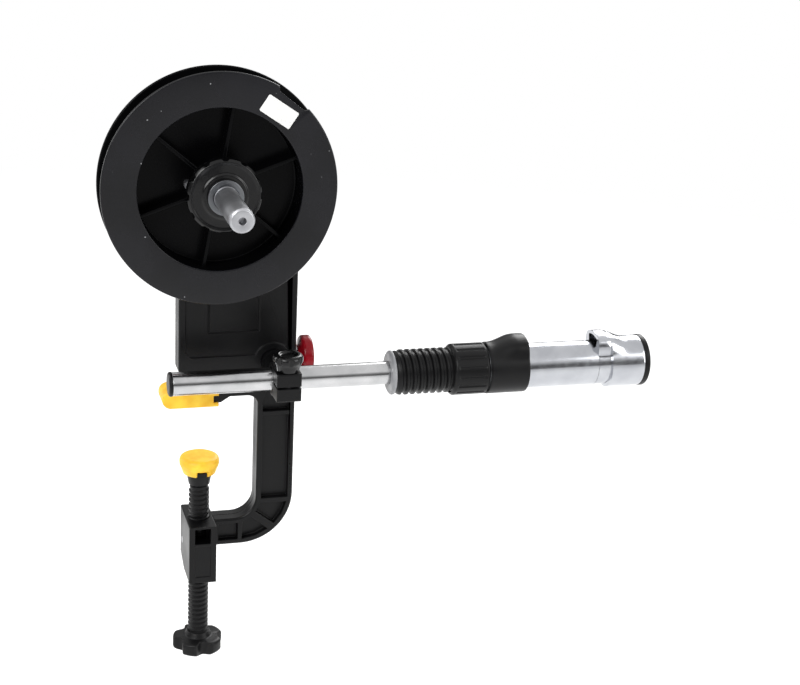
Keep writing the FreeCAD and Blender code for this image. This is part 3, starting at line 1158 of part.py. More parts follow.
cup = new_body("swivel_cup")
cup_foot = -S.cup_foot
nhole, cavity = nr + S.ball_fit, ballr + S.ball_fit
lathe(cup, [(nhole, cup_foot), (S.cup_foot_radius, cup_foot), (S.cup_top_radius, pad_low),
            (S.cup_top_radius, recess_top),
            (cavity, recess_top), (cavity, ball_z - ballr * 0.3 - 1.0),
            (nhole, ball_z - ballr * 0.76 - 0.3)], "Z")
pad_body = new_body("screw_pad", (0, 0, 0), FreeCAD.Rotation(V3(0, 0, 1), 2))
pad_r, pt = S.pad_radius, -S.pad_top
lathe(pad_body, [(0, recess_top), (S.cup_top_radius, recess_top), (S.cup_top_radius, pad_low),
                 (pad_r - 1, pad_low), (pad_r, pad_low + 1.2),
                 (pad_r, pt - S.pad_round), (pad_r - 0.7, pt - 0.8), (pad_r - S.pad_round, pt), (0, pt)],
                 "Z")
notch = block(pad_body, "Subtractive", (-S.cup_tab / 2, -S.pad_radius - 1, pad_low - 1),
              (S.cup_tab, S.pad_radius + 1 - S.cup_top_radius, S.cup_recess + 1.4))
around(pad_body, notch, "Z_Axis", 3)

# Star knob
star_knob = new_body("star_knob", (0, 0, -S.star_top - S.star_high), FreeCAD.Rotation(V3(0, 0, 1), 24))
sh = S.star_high
lathe(star_knob, [(0, 0), (S.star_core - 1, 0), (S.star_core, 1), (S.star_core, sh - 1), (screw_r + 2, sh),
                  (screw_r + 0.7, sh + S.star_neck),
                  (screw_r, sh + S.star_neck), (screw_r, 2), (0, 2)], "Z")
sk = sketch_on(star_knob, "XZ_Plane", "lobe_side")
draw(sk, [(screw_r + 1, 0), (S.star_radius - 1.2, 0), (S.star_radius, 1.2), (S.star_radius, sh - 1.4),
          (S.star_radius - 1.4, sh - 0.4),
          (screw_r + 1, sh)])
lobe = pad(star_knob, sk, S.star_lobe, both=True)
around(star_knob, lobe, "Z_Axis", 5)

# Quick release: pin, lever with its button, spring
pin = part_cylinder("+X", (-S.block_half, S.pin_y, -S.pin_z), S.pin_radius, 2 * S.block_half)
pin.Label = "release_pin"
NODES.append(("release_pin", pin))
lever = new_body("release_lever")
sk = sketch_on(lever, "YZ_Plane", "lever_side")
y_in = S.screw_radius + 0.35
lt, lf, bb = -S.lever_top - 0.4, -S.lever_foot, S.block_back
bt = -S.button_top
step_z = -S.spring_z + S.spring_radius + 1.4
button_y = bb + S.button_out
draw(sk, [(y_in, lt), (y_in, -S.pin_z), (y_in + S.lever_relief, step_z + 0.6),
          (S.lever_inner, step_z + 0.6),
          (S.lever_inner, lf), (button_y - 3.6, lf), (button_y, lf + 4.6), (button_y, bt - 3.5),
          (button_y - 1.2, bt - 1.2), (bb + 0.2, bt + 2.6), (S.pin_y + 2.6, bt + 3.2), (S.pin_y + 1.4, lt)])
pad(lever, sk, 2 * S.lever_half, both=True)
cylinder(lever, "Subtractive", "+X", (-S.lever_half - 1, S.pin_y, -S.pin_z), S.pin_radius + S.pin_fit,
         2 * S.lever_half + 2)
coil_r = S.spring_radius.value - S.spring_wire.value / 2
spring_gap = S.lever_inner.value - S.spring_seat.value
wire = S.spring_wire.value
coil = Part.makeHelix((spring_gap - wire - 0.1) / 4.0, spring_gap - wire - 0.1, coil_r)
section = Part.Wire([Part.makeCircle(wire / 2, V3(coil_r, 0, 0), V3(0, 1, 0.1))])
spring = Part.Wire(coil).makePipeShell([section], True, True)
solid_piece("release_spring", spring, (0, S.spring_seat + wire / 2 + 0.05, -S.spring_z), TURN["+Y"])

# Build, test every object, write one STEP file for each piece
doc.recompute()
for obj in doc.Objects:
    bad = [s for s in obj.State if s in ("Invalid", "Error")]
    if bad:
        raise ValueError("%s failed: %s" % (obj.Label, bad))
    if obj.TypeId in ("PartDesign::Pocket", "PartDesign::Groove"):
        if not obj.Shape.Volume < obj.BaseFeature.Shape.Volume - 1e-6:
            raise ValueError("%s cuts nothing from %s" % (obj.Name, obj.getParentGeoFeatureGroup().Label))
os.makedirs("parts", exist_ok=True)
for name, obj in NODES:
    obj.Label = name
    shape = obj.Shape
    if shape.isNull() or not shape.isValid() or not shape.Solids:
        raise ValueError("no sound shape for " + name)
for name, obj in NODES:
    obj.Shape.exportStep("parts/%s.step" % name)
print(len(NODES), "pieces")
for name, obj in NODES:
    b = obj.Shape.BoundBox
    print("%-18s %d solids %9.1f mm3  x %.1f..%.1f  y %.1f..%.1f  z %.1f..%.1f" % (
        name, len(obj.Shape.Solids), obj.Shape.Volume, b.XMin, b.XMax, b.YMin, b.YMax, b.ZMin, b.ZMax))
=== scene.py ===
# %% [markdown]
# # A hand-cranked fishing line winder
# The winder clamps to a table. A moulded C-frame in two shells carries a gear
# housing, a spindle with a bulk line spool, a red crank with two grips, and a
# cross rod with a bracket, a steel tube and a reel seat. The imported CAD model
# is loaded as a fixed frame. This script gives every piece its finish, and
# builds the pieces whose real surface is finer than the CAD form.

# %% Load the frame
import bpy
import bmesh
import json
import math
import numpy as np
from mathutils import Matrix, Vector


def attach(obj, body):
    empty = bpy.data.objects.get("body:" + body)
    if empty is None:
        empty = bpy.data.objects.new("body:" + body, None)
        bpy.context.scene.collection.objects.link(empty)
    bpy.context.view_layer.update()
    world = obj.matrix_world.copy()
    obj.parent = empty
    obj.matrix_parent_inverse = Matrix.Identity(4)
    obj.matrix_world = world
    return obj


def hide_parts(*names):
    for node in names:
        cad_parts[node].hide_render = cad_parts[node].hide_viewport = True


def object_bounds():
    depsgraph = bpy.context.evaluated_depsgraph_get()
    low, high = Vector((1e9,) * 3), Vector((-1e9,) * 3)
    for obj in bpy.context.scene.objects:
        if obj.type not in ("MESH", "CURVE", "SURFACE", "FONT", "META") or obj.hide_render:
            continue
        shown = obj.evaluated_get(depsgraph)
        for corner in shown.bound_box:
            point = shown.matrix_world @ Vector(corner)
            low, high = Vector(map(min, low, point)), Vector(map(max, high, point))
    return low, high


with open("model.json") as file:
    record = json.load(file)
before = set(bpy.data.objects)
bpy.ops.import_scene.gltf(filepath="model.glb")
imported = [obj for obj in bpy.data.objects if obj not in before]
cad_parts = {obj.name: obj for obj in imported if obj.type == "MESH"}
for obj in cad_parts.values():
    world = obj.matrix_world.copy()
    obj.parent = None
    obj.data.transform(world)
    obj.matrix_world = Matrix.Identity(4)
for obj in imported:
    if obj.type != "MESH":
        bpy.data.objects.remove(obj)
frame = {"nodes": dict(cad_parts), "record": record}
cad_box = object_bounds()
nodes = frame["nodes"]
record = frame["record"]
BODY_OF = {node: body for body, members in record["behaviour"]["bodies"].items() for node in members}
MM = 0.001
print("CAD nodes:", len(nodes))

# %% [markdown]
# ## Colours and nodes
# Colours are written as sRGB hex values, as a paint chart gives them, and one
# function turns them to the linear values that shaders use. A second small
# function adds a shader node with its settings and its links, so a material
# reads as a short list of nodes.

# %% Colour and node helpers
def linear(hex_colour):
    """Linear RGBA of an sRGB hex colour: v/12.92 below 0.04045, else ((v+0.055)/1.055)^2.4."""
    v = np.array([int(hex_colour[i:i + 2], 16) for i in (1, 3, 5)]) / 255.0
    low, high = v / 12.92, ((v + 0.055) / 1.055) ** 2.4
    return tuple(float(c) for c in np.where(v <= 0.04045, low, high)) + (1.0,)


def add(tree, kind, values):
    """Adds one node. values maps an attribute or input name to a value, or to an output socket to link."""
    node = tree.nodes.new("ShaderNode" + kind)
    for name, value in values.items():
        if isinstance(value, bpy.types.NodeSocket):
            tree.links.new(value, node.inputs[name])
        elif isinstance(name, str) and hasattr(node, name):
            setattr(node, name, value)
        else:
            node.inputs[name].default_value = value
    return node


def empty_tree(name):
    """A new material of that name and its emptied node tree."""
    material = bpy.data.materials.new(name)
    material.use_nodes = True
    material.node_tree.nodes.clear()
    return material, material.node_tree


# %% [markdown]
# ## Moulded plastics
# The frame is glass-filled nylon from a spark-eroded mould: a black satin skin
# with a grain of about 0.3 mm, drawn at 0.8 mm so that it shows. The spool is
# polystyrene, smoother and shinier, with specks of dust. The grips are a soft
# rubbery foam, the knobs a polished ABS, and the pads a dipped yellow vinyl.
# All share one recipe: two tones in soft patches, a roughness that follows the
# patches, and a fine bump for the skin.

# %% Plastics
def moulded(name, tones, roughness, patch_mm, grain_mm, grain_deep_mm, dust=None, recess_shade_y=None, **shine):
    """Moulded plastic. A soft cloud of patch_mm mixes the pairs of tones and of roughness; the bump has
    grain_mm. Past the recess station along Y (the argument after dust, in mm) the colour is a painted shade:
    a deeper black that reflects little, for the shade inside a recess."""
    material, tree = empty_tree(name)
    place = add(tree, "TexCoord", {}).outputs["Object"]
    patches = add(tree, "TexNoise", {"Scale": 1 / (patch_mm * MM), "Detail": 3.0, "Vector": place})
    grain = add(tree, "TexNoise", {"Scale": 1 / (grain_mm * MM), "Detail": 2.0, "Vector": place})
    share = add(tree, "MapRange", {"From Min": 0.35, "From Max": 0.65, "Value": patches.outputs["Fac"]})
    colour = add(tree, "Mix", {"data_type": "RGBA", "Factor": share.outputs[0],
                               6: linear(tones[0]), 7: linear(tones[1])}).outputs[2]
    if dust:
        cells = add(tree, "TexVoronoi", {"Scale": 1 / (8 * MM), "Vector": place})
        speck = add(tree, "MapRange",
                    {"From Min": 0.06, "From Max": 0.03, "Value": cells.outputs["Distance"]})
        colour = add(tree, "Mix", {"data_type": "RGBA", "Factor": speck.outputs[0], 6: colour,
                                   7: linear(dust)}).outputs[2]
    # Painted shade: past the recess station along Y the colour turns to near-black #050506 and the reflection
    # fades, for the shade in the spool's recess.
    if recess_shade_y:
        along = add(tree, "SeparateXYZ", {"Vector": place}).outputs["Y"]
        deep = add(tree, "MapRange", {"From Min": (recess_shade_y - 0.4) * MM, "From Max": (recess_shade_y + 0.4) * MM,
                                      "Value": along}).outputs[0]
        dull = {"To Min": shine.pop("Specular_IOR_Level"), "To Max": 0.07, "Value": deep}
        shine["Specular IOR Level"] = add(tree, "MapRange", dull).outputs[0]
        colour = add(tree, "Mix", {"data_type": "RGBA", "Factor": deep, 6: colour,
                                   7: linear("#050506")}).outputs[2]
    gloss = add(tree, "MapRange", {"From Min": 0.35, "From Max": 0.65, "To Min": roughness[0],
                                   "To Max": roughness[1], "Value": patches.outputs["Fac"]})
    skin = add(tree, "Bump",
               {"Strength": 1.0, "Distance": grain_deep_mm * MM, "Height": grain.outputs["Fac"]})
    shader = add(tree, "BsdfPrincipled", {"Base Color": colour, "Roughness": gloss.outputs[0],
                                          "Normal": skin.outputs[0],
                                          **{key.replace("_", " "): value for key, value in shine.items()}})
    add(tree, "OutputMaterial", {"Surface": shader.outputs[0]})
    return material


# %% [markdown]
# ## Metals
# A turned rod shows fine rings round its axis and a drawn tube fine lines
# along it. The lines are a few hundredths of a millimetre apart and are drawn
# at 0.4 mm so that they show. Plated and dyed pieces are smooth, with a
# slight ripple. Metals keep the default IOR.

# %% Metals
CLOUD_MM = 16.0


def metal(name, tones, roughness, scale_mm, depth_mm):
    """Metal. scale_mm is the size of the tool lines or ripples along x, y and z; the tones lie in clouds."""
    material, tree = empty_tree(name)
    place = add(tree, "TexCoord", {}).outputs["Object"]
    fine = add(tree, "Mapping", {"Scale": tuple(1 / (s * MM) for s in scale_mm), "Vector": place})
    lines = add(tree, "TexNoise", {"Scale": 1.0, "Detail": 2.0, "Vector": fine.outputs[0]})
    clouds = add(tree, "TexNoise", {"Scale": 1 / (CLOUD_MM * MM), "Detail": 3.0, "Vector": place})
    share = add(tree, "MapRange", {"From Min": 0.35, "From Max": 0.65, "Value": clouds.outputs["Fac"]})
    colour = add(tree, "Mix", {"data_type": "RGBA", "Factor": share.outputs[0],
                               6: linear(tones[0]), 7: linear(tones[1])})
    gloss = add(tree, "MapRange", {"From Min": 0.3, "From Max": 0.7, "To Min": roughness[0],
                                   "To Max": roughness[1], "Value": lines.outputs["Fac"]})
    relief = add(tree, "Bump", {"Strength": 1.0, "Distance": depth_mm * MM, "Height": lines.outputs["Fac"]})
    shader = add(tree, "BsdfPrincipled", {"Metallic": 1.0, "Base Color": colour.outputs[2],
                                          "Roughness": gloss.outputs[0], "Normal": relief.outputs[0]})
    add(tree, "OutputMaterial", {"Surface": shader.outputs[0]})
    return material


# %% [markdown]
# ## The finishes of this winder
# Each line says what the finish gives the eye. Turned steel has rings round Y,
# the tube has lines along X and the rod has lines along Y.

# %% Finishes
RINGS_Y, LINES_X, LINES_Y, RIPPLE = (30, 0.4, 30), (30, 0.4, 0.4), (0.4, 30, 0.4), (3, 3, 3)
FINISH = {
    # satin black, soft dark-grey highlights, duller in patches
    "nylon": moulded("black_moulded_nylon", ("#060607", "#0d0d0e"), (0.3, 0.42), 35, 0.8, 0.05,
                     Specular_IOR_Level=0.2),
    # black with a clear gloss, faint swirls and dust; painted shade makes all behind the front face of the
    # front rim a deeper black
    "polystyrene": moulded("black_spool_polystyrene", ("#0b0b0e", "#131317"), (0.2, 0.32), 28, 2.0, 0.015,
                           dust="#8a8b8d", recess_shade_y=-41.4, Specular_IOR_Level=0.28),
    # charcoal, soft wide sheen, a pebble that is felt more than seen
    "grip": moulded("charcoal_grip_foam", ("#101012", "#1a1a1c"), (0.28, 0.4), 14, 0.8, 0.05,
                    Specular_IOR_Level=0.42),
    # piano black with sharp highlights
    "gloss_black": moulded("black_polished_abs", ("#050506", "#0b0b0c"), (0.14, 0.22), 6, 5.0, 0.03,
                           Specular_IOR_Level=0.3),
    # deep clear red, glossy rim
    "red_abs": moulded("red_polished_abs", ("#7a0613", "#8e0b1a"), (0.18, 0.26), 6, 5.0, 0.03,
                       Specular_IOR_Level=0.25),
    # warm yellow that lets a little light in, rubbed duller in places
    "vinyl": moulded("yellow_dipped_vinyl", ("#fbd136", "#f0b41c"), (0.38, 0.55), 10, 0.9, 0.04,
                     Subsurface_Weight=0.1, Subsurface_Scale=0.002),
    # milky grey
    "natural_nylon": moulded("natural_nylon", ("#999a9c", "#86878a"), (0.36, 0.46), 8, 1.5, 0.03),
    # dry brown-black board
    "fibre": moulded("pressed_fibre_washer", ("#2e2a26", "#3d3732"), (0.75, 0.85), 4, 0.8, 0.08),
    # white coated paper
    "label": moulded("white_coated_label", ("#f2f2f0", "#e6e6e3"), (0.4, 0.5), 12, 1.0, 0.01),
    # bright satin steel with rings
    "turned_steel": metal("turned_steel", ("#bcbdc0", "#a2a3a7"), (0.36, 0.48), RINGS_Y, 0.004),
    # bright tube with a soft lengthwise streak
    "tube_steel": metal("drawn_stainless_tube", ("#c6c6c7", "#b2b3b4"), (0.14, 0.24), LINES_X, 0.006),
    # dark matt rod with a grey sheen on top
    "rod_steel": metal("phosphated_steel_rod", ("#47484b", "#3a3b3e"), (0.34, 0.46), LINES_Y, 0.008),
    # grey plated screws, lighter than the plastic round them
    "dark_screw": metal("zinc_plate", ("#8a8b8e", "#6f7074"), (0.24, 0.36), RIPPLE, 0.01),
    # mid grey with a dull sheen
    "gear_steel": metal("hobbed_gear_steel", ("#77797c", "#66686b"), (0.28, 0.4), RIPPLE, 0.02),
    # a bright mirror, a little softened by fine scratches
    "chrome": metal("chrome_plate", ("#bfc1c5", "#b0b2b7"), (0.14, 0.22), RIPPLE, 0.002),
    # clear red over a metallic shine, paler where the light skims it
    "red_anodised": metal("red_anodised_aluminium", ("#c01a26", "#a60f1a"), (0.3, 0.42), RIPPLE, 0.006),
    # dry brown metal
    "bronze": metal("sintered_bronze", ("#9a7a4c", "#84663d"), (0.36, 0.5), RIPPLE, 0.02),
    # pale warm screw
    "brass": metal("nickelled_brass_screw", ("#e0c6b4", "#cfae98"), (0.24, 0.36), RIPPLE, 0.01),
}
print("finishes:", len(FINISH))

# %% [markdown]
# ## Which piece has which finish
# Every CAD node gets its finish through its material slots. Its mesh and its
# place stay as they are. A piece that stands for a node takes the same finish.

# %% Finishes of the CAD nodes
WEARS = {
    "nylon": "front_frame rear_frame gear_cover release_lever drive_disc rod_end_cap tube_bracket "
             "tube_end_plug thread_barrel seat_end_cap sliding_hood locking_nut "
             "swivel_cup clamp_screw star_knob",
    "polystyrene": "line_spool",
    "grip": "knob_upper knob_lower",
    "gloss_black": "knob_cap_upper knob_cap_lower bracket_knob spool_nut",
    "red_abs": "thumb_knob",
    "vinyl": "jaw_pad screw_pad",
    "natural_nylon": "seat_ring seat_bush thumb_tip",
    "fibre": "drag_washers",
    "turned_steel": "spindle release_pin crank_shaft knob_posts knob_washers release_spring drive_pins "
                    "bracket_screw bracket_nut thumb_shank",
    "tube_steel": "reel_tube",
    "rod_steel": "cross_rod",
    "dark_screw": "cover_screws",
    "gear_steel": "drive_gear pinion_gear nut_collar",
    "chrome": "star_drag crank_sleeve seat_tube fixed_hood",
    "red_anodised": "crank_arm crank_nut",
    "bronze": "spindle_bushes crank_bushes",
    "brass": "arm_lock_screw",
}
FINISH_OF = {name: finish for finish, names in WEARS.items() for name in names.split()}
for name, node in nodes.items():
    node.data.materials.clear()
    node.data.materials.append(FINISH[FINISH_OF[name]])
print("nodes with a finish:", len(FINISH_OF), "of", len(nodes))

# %% [markdown]
# ## Shapes worked out with numpy
# Most of the winder is turned or moulded round an axis. Each of those pieces is
# an outline of stations and radii, whose corners are rounded as a real edge is,
# turned round its axis on a grid of rows and columns. A rule for the radius
# adds flutes, scallops and lobes. The points are whole arrays, and the faces
# are made from the grid.

# %% Outlines and grids
def soften(corners, cut=0.4, steps=4):
    """Rounds an outline: corner P becomes (1-t)^2 A + 2t(1-t) P + t^2 B for t from 0 to 1. A and B lie cut mm
    from P on its two sides, or at 0.45 of a side that is shorter. A corner on the axis stays."""
    p = np.array(corners, float)
    cut = np.where(p[:, 1] < 1e-6, 0.0, np.broadcast_to(np.asarray(cut, float), len(p)))
    toward = [np.roll(p, shift, axis=0) - p for shift in (1, -1)]
    ends = []
    for side in toward:
        length = np.maximum(np.linalg.norm(side, axis=1), 1e-9)
        ends.append(p + side * (np.minimum(cut, 0.45 * length) / length)[:, None])
    t = np.linspace(0, 1, steps + 1)[None, :, None]
    a, b, p = ends[0][:, None], ends[1][:, None], p[:, None]
    return ((1 - t) ** 2 * a + 2 * t * (1 - t) * p + t ** 2 * b).reshape(-1, 2)


def grid_faces(rows, columns, join_rows, join_columns=True):
    """Quads of a grid: corners (i, j), (i, j+1), (i+1, j+1), (i+1, j). Joined ends wrap round."""
    i = np.arange(rows if join_rows else rows - 1)[:, None]
    j = np.arange(columns if join_columns else columns - 1)[None, :]
    i2, j2 = (i + 1) % rows, (j + 1) % columns
    quads = [i * columns + j, i * columns + j2, i2 * columns + j2, i2 * columns + j]
    return np.stack(quads, axis=-1).reshape(-1, 4)


def on_axis(axis, centre, station, radius, angle):
    """Points at a station on the axis and at a radius, with 90 degrees at the top (for z, at +Y)."""
    across, up = centre[0] + radius * np.cos(angle), centre[1] + radius * np.sin(angle)
    station = station + 0 * across
    order = {"x": (station, across, up), "y": (across, station, up), "z": (across, up, station)}[axis]
    return np.stack(order, axis=-1).reshape(-1, 3)


def turned(outline, axis, centre, parts=96, shape=None):
    """An outline of (station, radius), turned. shape(station, radius, angle) gives another radius."""
    outline = np.asarray(outline, float)
    angle = np.linspace(0, 2 * np.pi, parts, endpoint=False)[None, :]
    station, radius = outline[:, :1] + 0 * angle, outline[:, 1:] + 0 * angle
    if shape is not None:
        radius = shape(station, radius, angle)
    closed = outline[0, 1] > 1e-6
    return on_axis(axis, centre, station, radius, angle), grid_faces(len(outline), parts, closed)


# %% [markdown]
# ## Putting a shape into the scene
# One function joins the shells of a piece, merges the points at poles and
# seams, points the faces outwards, smooths all but the sharp edges, and lets
# the piece ride on the CAD body of the node that it stands for.

# %% Pieces
def join(name, shells):
    """A mesh of shells of (points in mm, faces), merged at poles and seams, with faces outwards."""
    points = np.concatenate([p for p, _ in shells]) * MM
    starts = np.cumsum([0] + [len(p) for p, _ in shells[:-1]])
    faces = np.concatenate([f + start for (_, f), start in zip(shells, starts)])
    mesh = bpy.data.meshes.new(name)
    mesh.from_pydata(points.tolist(), [], faces.tolist())
    work = bmesh.new()
    work.from_mesh(mesh)
    bmesh.ops.remove_doubles(work, verts=work.verts, dist=2e-6)
    bmesh.ops.delete(work, geom=[e for e in work.edges if not e.link_faces], context="EDGES")
    bmesh.ops.recalc_face_normals(work, faces=work.faces)
    work.to_mesh(mesh)
    work.free()
    return mesh


def hand_over(name, mesh, stands_for, crease, finish=None, body=None):
    """Links the mesh as an object: its finish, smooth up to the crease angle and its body."""
    made = bpy.data.objects.new(name, mesh)
    bpy.context.collection.objects.link(made)
    mesh.shade_smooth()
    mesh.set_sharp_from_angle(angle=math.radians(crease))
    mesh.materials.clear()
    mesh.materials.append(FINISH[finish or FINISH_OF[stands_for[0]]])
    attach(made, body or BODY_OF[stands_for[0]])
    if stands_for:
        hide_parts(*stands_for)
    print(f"{name}: {len(mesh.polygons)} faces")
    return made


def piece(name, shells, stands_for, crease=38, finish=None, body=None):
    """A piece of joined shells. It replaces the nodes in stands_for, and takes its body and its finish from
    the first of them."""
    return hand_over(name, join(name, shells), stands_for, crease, finish, body)


def lathe(name, node, axis, centre, corners, cut=0.4, steps=4, parts=96, shape=None):
    """A piece that replaces one node: a rounded outline, turned."""
    return piece(name, [turned(soften(corners, cut, steps), axis, centre, parts, shape)], [node])


# %% [markdown]
# ## The moulded frame and the parts that hold the tube
# The shells of the frame have the right form in CAD, but a moulding has no
# knife edges: a radius of a third of a millimetre runs along every rim and
# rib, and catches a thin line of light. A merged copy of each node gets a
# bevel modifier for it, and normals weighted by area, so that flat walls shade
# flat.

# %% Rounded copies of the moulded nodes
def rounded_copy(name, node, width_mm, segments=2, crease=32):
    """A merged copy of a CAD node with a bevel of width_mm on each edge sharper than the crease angle."""
    work = bmesh.new()
    work.from_mesh(nodes[node].data)
    bmesh.ops.remove_doubles(work, verts=work.verts, dist=2e-6)
    bmesh.ops.dissolve_limit(work, angle_limit=math.radians(1.0), verts=work.verts, edges=work.edges)
    mesh = bpy.data.meshes.new(name)
    work.to_mesh(mesh)
    work.free()
    made = hand_over(name, mesh, [node], crease)
    bevel = made.modifiers.new("edge_round", "BEVEL")
    bevel.width, bevel.segments, bevel.limit_method = width_mm * MM, segments, "ANGLE"
    bevel.angle_limit, bevel.use_clamp_overlap = math.radians(crease), False
    flat = made.modifiers.new("flat_faces_stay_flat", "WEIGHTED_NORMAL")
    flat.weight, flat.keep_sharp = 100, True
    return made


rounded_copy("moulded_front_frame", "front_frame", 0.35)
rounded_copy("moulded_rear_frame", "rear_frame", 0.35)
rounded_copy("moulded_gear_cover", "gear_cover", 0.35)
rounded_copy("moulded_tube_bracket", "tube_bracket", 0.35)
rounded_copy("moulded_release_lever", "release_lever", 0.3)
rounded_copy("dipped_jaw_pad", "jaw_pad", 0.3)

# %% [markdown]
# ## Spindle, spool and nut
# The spindle is a turned bar with a drilled end. The spool is one moulding: a
# hub, a thin web, a drum between two rims, and six ribs that stand on the web.
# One notch is cut into the front rim. The nut has twelve scallops for the
# fingers, and a split collar before it keeps it from running off.

# %% Spindle and drive disc
SPINDLE = (3.182, 136.254)
lathe("turned_spindle", "spindle", "y", SPINDLE,
      [(-97.1, 0), (-97.1, 2), (-103.1, 2), (-103.1, 5.5), (-102.1, 6.5), (-60.2, 6.5), (-60.2, 6), (-59, 6),
       (-59, 6.5), (-7.3, 6.5), (-7.3, 3.2), (7.2, 3.2), (7.2, 0)], 0.3)
lathe("moulded_drive_disc", "drive_disc", "y", SPINDLE,
      [(-22.4, 6.5), (-22.4, 19), (-21.4, 20), (-18.8, 20), (-18.2, 12), (-16.8, 11), (-8.3, 10),
       (-8.3, 6.5)])


# %% Spool
def spool_ribs(inner, outer, wide, high, low, first=20, count=6):
    """Ribs that radiate from the spindle, the first at an angle of first degrees. Each carries a section
    with rounded corners at +-wide/2 and at low and low + high, between two radii. Its ends close on the
    section's middle."""
    section = soften([(-wide / 2, high), (wide / 2, high), (wide / 2, 0.001), (-wide / 2, 0.001)], 0.7, 5)
    reach = np.array([inner, inner, outer, outer])[:, None]
    open_end = np.array([0.0, 1.0, 1.0, 0.0])[:, None]
    middle = section.mean(axis=0)
    side = middle[0] + (section[None, :, 0] - middle[0]) * open_end
    up = middle[1] + (section[None, :, 1] - middle[1]) * open_end
    shells = []
    for k in range(count):
        a = math.radians(first + 360 / count * k)
        x = SPINDLE[0] + reach * math.cos(a) - side * math.sin(a)
        z = SPINDLE[1] + reach * math.sin(a) + side * math.cos(a)
        points = np.stack([x, low + up, z], axis=-1).reshape(-1, 3)
        shells.append((points, grid_faces(4, len(section), False)))
    return shells


NOTCH_AT, NOTCH_LONG, NOTCH_FLOOR = math.radians(52), 19.0, 60.4


def rim_notch(station, radius, angle):
    """Cuts the front rim back to a flat floor within the notch's length."""
    off = (angle - NOTCH_AT + np.pi) % (2 * np.pi) - np.pi
    near = np.clip(off, -1, 1)
    inside = (np.abs(NOTCH_FLOOR * np.tan(near)) < NOTCH_LONG / 2) & (np.abs(off) < 0.5) & (station < -38)
    return np.where(inside, np.minimum(radius, NOTCH_FLOOR / np.cos(near)), radius)


SPOOL = soften([(-40.3, 6.62), (-40.3, 12), (-25, 12), (-25, 44.3), (-42.3, 44.3), (-42.3, 63.4),
                (-40.1, 63.4), (-40.1, 47), (-24.6, 47), (-24.6, 63.4), (-22.4, 63.4), (-22.4, 6.62)],
               [0.3, 0.6, 0.8, 1.2, 0.8, 0.9, 0.9, 0.8, 0.8, 0.9, 0.9, 0.3], 5)
piece("moulded_line_spool", [turned(SPOOL, "y", SPINDLE, 288, rim_notch)]
      + spool_ribs(11.5, 44.8, 2.2, 10.6, -35.3), ["line_spool"])

# %% Nut and collar
def bites(angle, count, ring, bite):
    """The radius at which a ray meets the nearest of count circles of radius bite, whose centres lie on a
    ring. It is endless where the ray misses them."""
    off = (angle + np.pi / count) % (2 * np.pi / count) - np.pi / count
    inside = bite ** 2 - (ring * np.sin(off)) ** 2
    return np.where(inside > 0, ring * np.cos(off) - np.sqrt(np.maximum(inside, 0)), np.inf)


def scalloped(station, radius, angle):
    """Twelve scallops, 2.6 mm in radius, bite into the rim."""
    return np.where(radius > 15, np.minimum(radius, bites(angle, 12, 21.5, 2.6)), radius)


lathe("moulded_spool_nut", "spool_nut", "y", SPINDLE,
      [(-40.3, 6.58), (-55.3, 6.58), (-55.3, 11.6), (-54.5, 12.6), (-54.5, 17), (-55.1, 18.5), (-53.7, 20),
       (-48.3, 20), (-47.5, 19), (-47.5, 12.5), (-46.5, 11.5), (-40.3, 11.5)], 0.5, 4, 360, scalloped)


def split_ring(outline, gap_at, gap_wide, parts=90):
    """A closed outline swept round the spindle but for a gap of gap_wide mm. The ends close on its middle."""
    half = math.asin(gap_wide / 2 / outline[:, 1].mean())
    sweep = np.linspace(gap_at + half, gap_at + 2 * np.pi - half, parts)
    angle = np.concatenate([sweep[:1], sweep, sweep[-1:]])[None, :]
    open_end = np.concatenate([[0.0], np.ones(parts), [0.0]])[None, :]
    middle = outline.mean(axis=0)
    station = middle[0] + (outline[:, :1] - middle[0]) * open_end
    radius = middle[1] + (outline[:, 1:] - middle[1]) * open_end
    return on_axis("y", SPINDLE, station, radius, angle), grid_faces(len(outline), parts + 2, True, False)


COLLAR = soften([(-55.3, 6.58), (-58.1, 6.58), (-58.1, 9.6), (-55.3, 9.6)], 0.5)
piece("sprung_nut_collar", [split_ring(COLLAR, math.radians(-35), 2.0)], ["nut_collar"])

# %% [markdown]
# ## Crank: star drag, sleeve, arm and nut
# The star is a chromed casting: a hub, five flat arms that end in ring
# eyes, and webs that run in concave curves from arm to arm. The arm is a red
# anodised plate, bent twice towards the housing, with drilled holes.

# %% Washers, sleeve, nut and screw of the crank
CRANK = (18.3, 105.8)
DIAGONAL = math.sqrt(0.5)
LOCK_AT, KNOB_AT = 11.5, 50


def on_arm(s):
    """The place at distance s along the arm, which is tilted by -45 degrees."""
    return CRANK[0] + s * DIAGONAL, CRANK[1] - s * DIAGONAL


WASHERS = ((8.8, 8.0), (9.7, 7.3), (10.6, 8.0))
piece("stacked_drag_washers",
      [turned(soften([(y, 4.06), (y, r), (y + 0.88, r), (y + 0.88, 4.06)], 0.2), "y", CRANK)
       for y, r in WASHERS], ["drag_washers"])
lathe("chromed_crank_sleeve", "crank_sleeve", "y", CRANK,
      [(19.8, 4.02), (19.8, 5.6), (26.9, 5.6), (26.9, 4.02)], 0.35)
lathe("anodised_crank_nut", "crank_nut", "y", CRANK,
      [(31.5, 4), (31.5, 6.2), (33.9, 6.2), (34.7, 5), (37.0, 4.4), (38.56, 2.8), (38.9, 0), (34.7, 0),
       (34.7, 4)], [0.1, 0.2, 0.4, 0.5, 1.0, 1.2, 0, 0, 0.1], 5)
lathe("nickelled_lock_screw", "arm_lock_screw", "y", on_arm(LOCK_AT),
      [(26.9, 0), (26.9, 1.56), (31.5, 1.56), (31.5, 2.6), (32.3, 2.6), (32.8, 1.9), (32.8, 1.1),
       (32.4, 1.0), (32.4, 0)], 0.25)


# %% Star drag
def smooth_step(value, low, high):
    """0 below low, 1 above high, and 3t^2 - 2t^3 between."""
    t = np.clip((value - low) / (high - low), 0, 1)
    return t * t * (3 - 2 * t)


